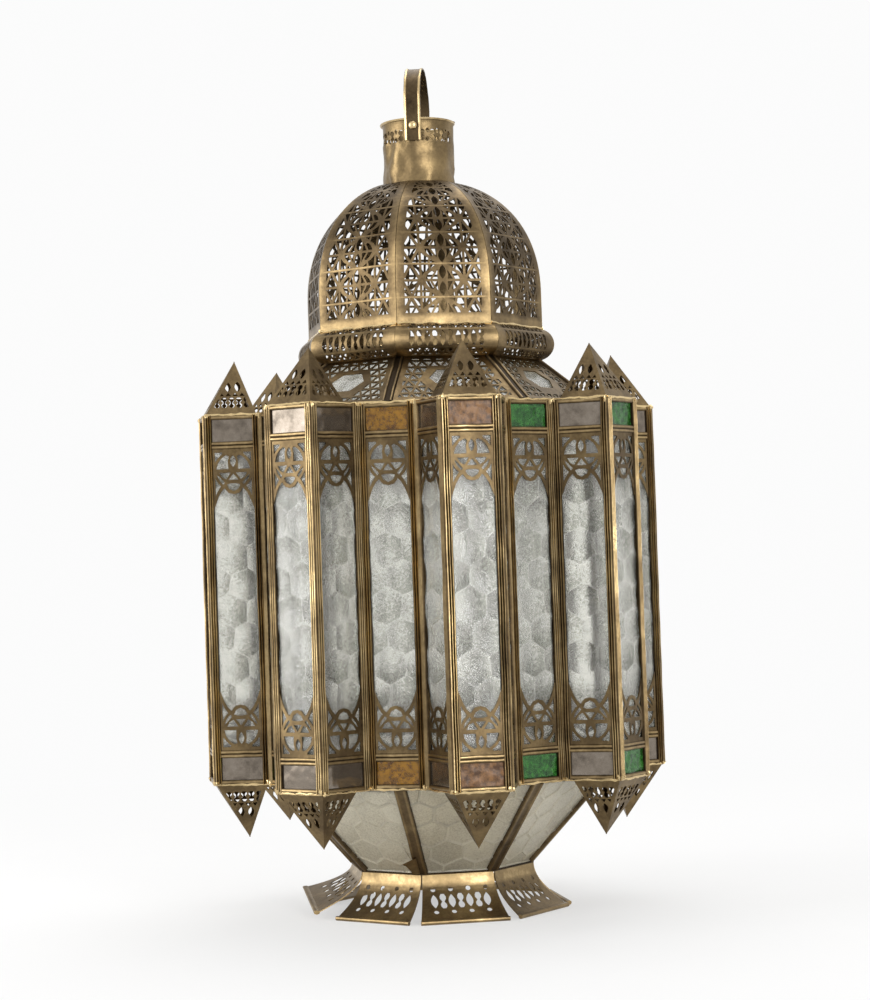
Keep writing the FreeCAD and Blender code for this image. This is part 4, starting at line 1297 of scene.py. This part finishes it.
def build_taper(eave_apothem):
    """Glass taper under the body, between channel ribs."""
    low = (FOOT_NECK - RIB_PROUD * CORNER_FACTOR, TAPER_LOW[2])
    high = (eave_apothem, TAPER_HIGH[2])
    place, length = slope_place(low, high)
    ribs = slope_ribs(low, high, TAPER_RIB_WIDTH, 0.4, 0.5)
    panes = slope_panes(slope_outline(low, high, length), place, *TAPER_CELLS, embossed=True)
    add_loose_tab(ribs, low, high)
    make_piece(panes, "taper_glass", GLASSES["embossed"], "lantern", ["taper_panes"],
               GLASS_CREASE)
    make_piece(ribs, "taper_channels", BRASS, "lantern", ["taper_ribs"])


def add_loose_tab(mesh, low, high):
    """Torn tab that has bent away from the foot of one taper rib."""
    place = corner_place(low, high)[0]
    rings = []
    for up, lift in ((2.0, 0.4), (9.0, 0.9), (15.0, 2.2), (20.0, 5.0)):
        reach = 5.0 + up * 0.28
        edge = lift + 1.2
        across = np.array([-reach, -1.0, -1.0, -reach])
        out = RIB_PROUD + np.array([edge, 0.0, SHEET, edge + SHEET])
        rings.append(turned(place(across, np.full(4, up), out), -SECTOR / 2))
    mesh.loft(rings, TAB_WEAR)


def build_solder():
    """Wavy solder along the top and bottom edges of the body."""
    mesh = Mesh()
    across = np.linspace(0.3, PANEL_PITCH - 0.3, 13)
    for _, panel, _ in plan_panels():
        for level in (BODY_TOP + 0.2, BODY_BOTTOM - 0.2):
            lift = np.array([DICE.uniform(*EAVE_SOLDER_LIFTS) for _ in across])
            radii = np.array([DICE.uniform(*EAVE_SOLDER_RADII) for _ in across])
            mesh.tube(panel.place(across, level + lift, 0.1), radii, 6, EAVE_SOLDER_WEAR)
    make_piece(mesh, "eave_solder", BRASS, "lantern")


# Caps and pendants

def face_place(first, second, apex):
    """Place function on a flat triangle from the middle of its base, with its width, height and lean."""
    first, second, apex = (np.array(p, float) for p in (first, second, apex))
    along = second - first
    width = np.linalg.norm(along)
    along /= width
    middle = (first + second) / 2
    rise = apex - middle
    lean = float(rise @ along)
    rise = rise - along * lean
    height = np.linalg.norm(rise)
    rise /= height
    out = np.cross(along, rise)

    def place(across, up, depth):
        across, up, depth = np.broadcast_arrays(np.asarray(across, float), up, depth)
        return middle + across[..., None] * along + up[..., None] * rise + depth[..., None] * out

    return place, width, height, lean


def cap_face_holes(width, height, lean):
    """Row of slots over a plain band, then a row of triangles and two lenses under the tip."""
    holes = []
    pitch = width * 0.74 / CAP_SLOTS
    for index in range(CAP_SLOTS):
        x = (index - (CAP_SLOTS - 1) / 2) * pitch
        holes.append(hourglass(x + lean * 0.2, height * 0.225, *CAP_SLOT))
    for index in range(CAP_SLOTS - 1):
        x = (index - (CAP_SLOTS - 2) / 2) * pitch * 0.92
        holes.append(triangle(x + lean * 0.3, height * 0.345, 4.6, height * 0.065))
    for side in (-1, 1):
        holes.append(lens(side * 3.9 + lean * 0.52, height * 0.52, *CAP_LENS))
    edge = width / 2 - 4.4
    return kept_holes(holes, [(-edge, 3.5), (edge, 3.5), (lean, height - 9.0)], 2.0)


def build_cap_mesh():
    """Hollow pierced pyramid with a wavy flange, on a turret at level zero."""
    ring = [(-HALF_PANEL, -FACE_RADIUS), (HALF_PANEL, -FACE_RADIUS), (BACK_HALF, -BACK_RADIUS),
            (-BACK_HALF, -BACK_RADIUS)]
    apex = (0.0, CAP_APEX_SETBACK - FACE_RADIUS, CAP_RISE)
    back_half = HALF_PANEL + (BACK_HALF - HALF_PANEL) * CAP_SPREAD_SHARE
    base = ring[:2] + [(back_half, -BACK_RADIUS), (-back_half, -BACK_RADIUS)]
    inset = []
    for x, y in base:
        inset.append((x - x * CAP_INSET_SHARE, y + (apex[1] - y) * CAP_INSET_SHARE, CAP_FLANGE * 0.8))
    mesh = Mesh()
    for first, second in edges(inset):
        place, width, height, lean = face_place(first, second, apex)
        outline = [(-width / 2, 0.0), (width / 2, 0.0), (lean, height)]
        fold = ((-width / 2 * 0.97, 1.6), (width / 2 * 0.97, 1.6))
        sheet = pierced(outline, cap_face_holes(width, height, lean), [fold])
        add_sheet(mesh, sheet, place, SHEET * 0.8, CAP_WEAR)
    rims = []
    for level, drop in ((0.0, 0.08), (CAP_FLANGE, 0.14)):
        loop = []
        for first, second in edges(ring):
            for share in np.linspace(0, 1, 8)[:-1]:
                x = first[0] + (second[0] - first[0]) * share
                y = first[1] + (second[1] - first[1]) * share
                loop.append((x, y - drop + 0.25 * math.sin(x * 0.7 + y), level))
        rims.append(loop)
    mesh.loft(rims, FLANGE_WEAR)
    return mesh


def build_caps():
    """A cap on each turret and the same piece upside down as a pendant."""
    cap = build_cap_mesh()
    for index, angle in enumerate(TURNS):
        for name, sign, level in (("cap", 1, BODY_TOP), ("pendant", -1, BODY_BOTTOM)):
            mesh = Mesh()
            moved = np.array(cap.points)
            lean = np.array([wobble(1.2), wobble(1.0)]) / CAP_RISE
            moved[:, :2] += moved[:, 2:] * lean
            moved[:, 2] = level + sign * moved[:, 2]
            mesh.add(turned(moved, angle), cap.faces, cap.wear_and_painted_highlight)
            make_piece(mesh, "pierced_%s_%d" % (name, index + 1), BRASS, "lantern",
                       ["turret_%s_%d" % (name, index + 1)])


# Collar, loop and rivets

def crumple(turn, up):
    """Dents of the collar at an angle and a height: broad ones, and creases that stand out."""
    x, y = math.cos(turn), math.sin(turn)
    broad = noise.noise((x * 2.2, y * 2.2, up * 0.05)) * 2.0
    crease = abs(noise.noise((x * 4.0 + up * 0.05, y * 4.0, up * 0.07))) * 2.2
    return broad + crease - 0.6


def build_collar():
    """Crumpled sheet tube with a pierced band and a rolled rim."""
    bottom, top = COLLAR_LOW[2], COLLAR_HIGH[2]
    height = top - bottom
    girth = 2 * math.pi * COLLAR_RADIUS
    seam = math.radians(60)
    rim_height = 3.0

    def place(across, up, out):
        turn = across / COLLAR_RADIUS + seam
        dents = np.array([crumple(t, z) for t, z in zip(turn, up)])
        calm = np.clip((height - 9 - up) / 10, 0.15, 1.0)
        lap = np.clip((across - girth) / 2, 0, 1)
        flare = np.clip((up - height + rim_height) / rim_height, 0, 1) * COLLAR_RIM_FLARE
        radius = COLLAR_RADIUS - 0.4 + dents * calm + lap + flare + out
        return np.stack([radius * np.sin(turn), -radius * np.cos(turn), bottom + up], axis=-1)

    holes = []
    band = height - 13.5
    pitch = girth / COLLAR_SLOTS
    for index in range(COLLAR_SLOTS):
        x = (index + 0.5) * pitch
        holes.append(hourglass(x, band, *COLLAR_SLOT))
        for rise in (3.4, -3.4):
            holes.append(lens(x + pitch / 2, band + rise, *COLLAR_LENS, 3))
    holes = [ring for ring in holes if max(p[0] for p in ring) < girth - 1]
    wide = girth + COLLAR_OVERLAP
    columns = np.linspace(0, wide, 62)
    rows = np.linspace(0, height, 17)
    outline = [(x, 0.0) for x in columns] + [(wide, y) for y in rows[1:-1]]
    outline += [(x, height) for x in columns[::-1]] + [(0.0, y) for y in rows[-2:0:-1]]
    folds = [((x, 0.0), (x, height)) for x in columns[1:-1]]
    folds += [((0.0, y), (wide, y)) for y in rows[1:-1]]
    mesh = Mesh()
    add_sheet(mesh, pierced(outline, holes, folds), place, SHEET, COLLAR_WEAR)
    turns = np.linspace(0, 2 * math.pi, 61)
    rim_radius = COLLAR_RADIUS + COLLAR_RIM_FLARE - 0.6
    rim_level = np.full(len(turns), top - 0.7)
    rim = np.stack([rim_radius * np.sin(turns), -rim_radius * np.cos(turns), rim_level], axis=1)
    mesh.tube(rim, 1.0, 8, COLLAR_RIM_WEAR)
    make_piece(mesh, "crumpled_collar", BRASS, "lantern", ["neck_collar"], COLLAR_CREASE)


def build_loop():
    """Strap with rolled edges, bent into a loop, and its two domed rivets."""
    inner = COLLAR_RADIUS + COLLAR_RIM_FLARE + LOOP_CLEARANCE
    middle = inner + LOOP_THICKNESS / 2
    spring = LOOP_HIGH[2] - inner - LOOP_THICKNESS
    leg = np.linspace(LOOP_LOW[2], spring, 6)
    bend = np.linspace(math.pi, 0, 33)[1:-1]
    path = [(-middle, level) for level in leg]
    path += [(middle * math.cos(t), spring + middle * math.sin(t)) for t in bend]
    path += [(middle, level) for level in leg[::-1]]
    run = unit(np.gradient(np.array(path), axis=0))
    normal = np.stack([-run[:, 1], run[:, 0]], axis=1)
    half = LOOP_WIDTH / 2
    section = [(half, -0.7, 0.3), (half, 0.55, 0.6), (half - 0.7, 0.95, 1.0), (half - 1.7, 0.75, 0.8),
               (half - 2.3, 0.2, 0.2)]
    section = np.array([(-x, *rest) for x, *rest in section] + section[::-1])
    rings = []
    for spot, out in zip(path, normal):
        flat = spot + np.outer(section[:, 1], out)
        across = section[:, 0] + wobble(0.12)
        rings.append(turned(np.stack([across, flat[:, 0], flat[:, 1]], axis=1), LOOP_AZIMUTH))
    mesh = Mesh()
    mesh.loft(rings, section[:, 2])
    make_piece(mesh, "strap_loop", BRASS, "bail", ["hanging_loop"])

    level = joint_spot("bail")[2]
    seat = inner + LOOP_THICKNESS + 0.3
    tail = COLLAR_RADIUS - 3.0
    profile = [(RIVET_TIP, seat + RIVET_HEAD_HEIGHT), (1.6, seat + RIVET_HEAD_HEIGHT * 0.88),
               (2.8, seat + RIVET_HEAD_HEIGHT * 0.5), (RIVET_HEAD_RADIUS, seat), (RIVET_RADIUS, seat),
               (RIVET_RADIUS, tail), (RIVET_HEAD_RADIUS, tail), (RIVET_TIP, tail - 1.2)]
    turns = round_turns(RIVET_SIDES)
    rivets = Mesh()
    for angle in (0.0, 180.0):
        rings = []
        for radius, reach in profile:
            ring = [(radius * math.cos(t), -reach, level + radius * math.sin(t)) for t in turns]
            rings.append(turned(ring, LOOP_AZIMUTH + angle))
        rivets.loft(rings, [[0.9]] * 4 + [[0.4]] * 4)
    make_piece(rivets, "domed_rivets", BRASS, "lantern", ["loop_rivets"])


# Foot

def build_foot():
    """Eight flared petals with rolled hems, one of them bent and twisted."""
    spread = -PETAL_LOW[1] - PETAL_HEM_RADIUS
    shares = np.linspace(0, 1, 15)
    apothems = FOOT_NECK + (spread - FOOT_NECK) * (1 - shares) ** PETAL_BEND_POWER
    levels = PETAL_HEM_RADIUS + (PETAL_HIGH[2] - PETAL_HEM_RADIUS) * shares
    line = np.stack([apothems, levels], axis=1)
    along = run_lengths(line)
    length = along[-1]
    top_half = FOOT_NECK * TAN_HALF - PETAL_TOP_GAP
    tip_half = spread * TAN_HALF - PETAL_TIP_GAP
    half = top_half + (apothems - FOOT_NECK) * (tip_half - top_half) / (spread - FOOT_NECK)
    holes = []
    middle = length * 0.5
    for index in range(PETAL_SLOTS):
        x = (index - (PETAL_SLOTS - 1) / 2) * PETAL_SLOT_PITCH
        if index % 2:
            holes.append(hourglass(x, middle, *PETAL_SLOT))
        else:
            holes.append(lens(x, middle, *PETAL_LENS))
            holes += [dot(x, middle + rise, radius) for rise, radius in PETAL_DOTS]
    tip_edge = tip_half - 3
    top_edge = top_half - 3
    field = [(-tip_edge, 6.0), (tip_edge, 6.0), (top_edge, length - 4.0), (-top_edge, length - 4.0)]
    sheet = pierced(strip_outline(half, along), kept_holes(holes, field, 2.0), cross_folds(half, along))
    petal = Mesh()
    add_sheet(petal, sheet, bent_place(along, line))
    petal.wear_and_painted_highlight = [PETAL_NECK_WEAR if p[2] > PETAL_HIGH[2] - 9.0 else PETAL_WEAR for p in petal.points]
    hem = [(x, -spread, PETAL_HEM_RADIUS) for x in np.linspace(-tip_half, tip_half, 12)]
    petal.tube(hem, PETAL_HEM_RADIUS, 10, HEM_WEAR)
    whole = Mesh()
    for index, angle in enumerate(TURNS):
        points = np.array(petal.points)
        if index + 1 == BENT_PETAL:
            points[:, 1] = -FOOT_NECK + (points[:, 1] + FOOT_NECK) * BENT_PETAL_FLARE
            drop = PETAL_HIGH[2] - points[:, 2]
            twist = BENT_PETAL_TWIST * (tip_half - points[:, 0]) / (2 * tip_half)
            points[:, 2] = PETAL_HIGH[2] - drop * BENT_PETAL_DROP + twist * drop / PETAL_HIGH[2]
        whole.add(turned(points, angle), petal.faces, petal.wear_and_painted_highlight)
    make_piece(whole, "pierced_petals", BRASS, "lantern", ["foot_petals"], SHEET_CREASE)


def dress_cad_nodes():
    """Better finish on the nodes whose shape stays."""
    for node in ("upper_eave", "lower_eave", "floor_plate", "candle_cup", "hinge_knuckles", "hinge_pins",
                 "door_pull"):
        data = frame["nodes"][node].data
        data.materials.clear()
        data.materials.append(DARK_BRASS)


# Studio. Distances are in metres and angles in degrees

CAMERA_AZIMUTH = -10.1
CAMERA_DISTANCE = 1.9
CAMERA_LEVEL = 0.2765
CAMERA_PITCH = 1.64
CAMERA_YAW = -0.1275
CAMERA_ROLL = 1.915
CAMERA_LENS = 83.56
SENSOR_HEIGHT = 36.0
BACKDROP_WHITE = (0.97, 0.97, 0.97, 1.0)
LIGHT_TARGET = Vector((0.0, 0.0, 0.35))
FLOOR_REACH = 12.0


def build_camera():
    """Camera at the photograph's viewing angle."""
    data = bpy.data.cameras.new("camera")
    data.sensor_fit = "VERTICAL"
    data.sensor_height = SENSOR_HEIGHT
    data.lens = CAMERA_LENS
    data.clip_end = 50.0
    camera = bpy.data.objects.new("camera", data)
    azimuth = math.radians(CAMERA_AZIMUTH)
    spot = Vector((CAMERA_DISTANCE * math.sin(azimuth), -CAMERA_DISTANCE * math.cos(azimuth), CAMERA_LEVEL))
    heading = Matrix.Rotation(azimuth + math.radians(CAMERA_YAW), 4, "Z")
    pitch = Matrix.Rotation(math.radians(90 + CAMERA_PITCH), 4, "X")
    roll = Matrix.Rotation(math.radians(-CAMERA_ROLL), 4, "Z")
    camera.matrix_world = Matrix.Translation(spot) @ heading @ pitch @ roll
    bpy.context.scene.collection.objects.link(camera)
    bpy.context.scene.camera = camera


def build_floor():
    """Pale floor that keeps the shadow near the lantern and fades into the backdrop."""
    data = bpy.data.meshes.new("floor")
    corners = [(-FLOOR_REACH, -FLOOR_REACH, 0), (FLOOR_REACH, -FLOOR_REACH, 0), (FLOOR_REACH, FLOOR_REACH, 0),
               (-FLOOR_REACH, FLOOR_REACH, 0)]
    data.from_pydata(corners, [], [(0, 1, 2, 3)])
    material, shading, shader = new_material("pale_floor")
    nodes, links = shading.nodes, shading.links
    tone = shading.ramp(shading.noise(6.0), [(0.0, (0.86, 0.86, 0.855)), (1.0, 0.9)])
    links.new(tone, shader.inputs["Base Color"])
    shader.inputs["Roughness"].default_value = 0.9
    glow = nodes.new("ShaderNodeEmission")
    glow.inputs["Color"].default_value = BACKDROP_WHITE
    place = nodes.new("ShaderNodeTexCoord")
    reach = nodes.new("ShaderNodeVectorMath")
    reach.operation = "LENGTH"
    links.new(place.outputs["Object"], reach.inputs[0])
    fade = nodes.new("ShaderNodeMapRange")
    fade.inputs["From Min"].default_value = 0.25
    fade.inputs["From Max"].default_value = 1.3
    fade.inputs["To Min"].default_value = 0.55
    fade.inputs["To Max"].default_value = 1.0
    links.new(reach.outputs["Value"], fade.inputs["Value"])
    blend = nodes.new("ShaderNodeMixShader")
    links.new(shading.combine("MULTIPLY", shading.seen(), fade.outputs["Result"]), blend.inputs["Fac"])
    links.new(shader.outputs["BSDF"], blend.inputs[1])
    links.new(glow.outputs["Emission"], blend.inputs[2])
    links.new(blend.outputs["Shader"], nodes["Material Output"].inputs["Surface"])
    data.materials.append(material)
    floor = bpy.data.objects.new("floor", data)
    bpy.context.scene.collection.objects.link(floor)
    floor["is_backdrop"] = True


def build_world():
    """White backdrop, seen directly, in the metal and through the glass, and the soft light from it."""
    world = bpy.data.worlds.new("studio")
    bpy.context.scene.world = world
    shading = Shading(world)
    nodes, links = shading.nodes, shading.links
    place = nodes.new("ShaderNodeTexCoord")
    split = nodes.new("ShaderNodeSeparateXYZ")
    links.new(place.outputs["Generated"], split.inputs["Vector"])
    depth = shading.combine("MULTIPLY_ADD", split.outputs["Y"], 0.5, 0.5)
    shade = shading.ramp(depth, [(0.0, (0.46, 0.45, 0.435)), (0.45, (0.48, 0.475, 0.465)), (0.7, 0.95)])
    mix = nodes.new("ShaderNodeMix")
    mix.data_type = "RGBA"
    links.new(shading.seen(), mix.inputs["Factor"])
    links.new(shade, mix.inputs["A"])
    mix.inputs["B"].default_value = BACKDROP_WHITE
    links.new(mix.outputs["Result"], nodes["Background"].inputs["Color"])
    nodes["Background"].inputs["Strength"].default_value = 1.0


def add_light(name, azimuth, elevation, distance, width, height, power):
    """Soft panel of light, aimed at the middle of the lantern."""
    data = bpy.data.lights.new(name, "AREA")
    data.shape = "RECTANGLE"
    data.size = width
    data.size_y = height
    data.energy = power
    light = bpy.data.objects.new(name, data)
    turn, lift = math.radians(azimuth), math.radians(elevation)
    offset = Vector((math.sin(turn) * math.cos(lift), -math.cos(turn) * math.cos(lift), math.sin(lift)))
    light.location = LIGHT_TARGET + offset * distance
    light.rotation_euler = offset.to_track_quat("Z", "Y").to_euler()
    light.visible_camera = False
    bpy.context.scene.collection.objects.link(light)


def build_studio():
    """Camera, floor, backdrop and light."""
    bpy.context.scene.view_settings.view_transform = "Standard"
    build_camera()
    build_floor()
    build_world()
    add_light("front_panel", 14.0, 12.0, 3.2, 0.9, 2.2, 40.0)
    add_light("left_window", -82.0, 10.0, 2.6, 1.6, 2.4, 45.0)
    add_light("top_panel", 150.0, 70.0, 2.6, 2.0, 2.0, 30.0)


build_body()
build_dome()
build_bead()
build_taper(build_roof())
build_solder()
build_caps()
build_collar()
build_loop()
build_foot()
dress_cad_nodes()
build_studio()

boxes = {"cad": CAD_BOX, "visual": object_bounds()}
{name: [[float(x) for x in corner] for corner in box] for name, box in boxes.items()}
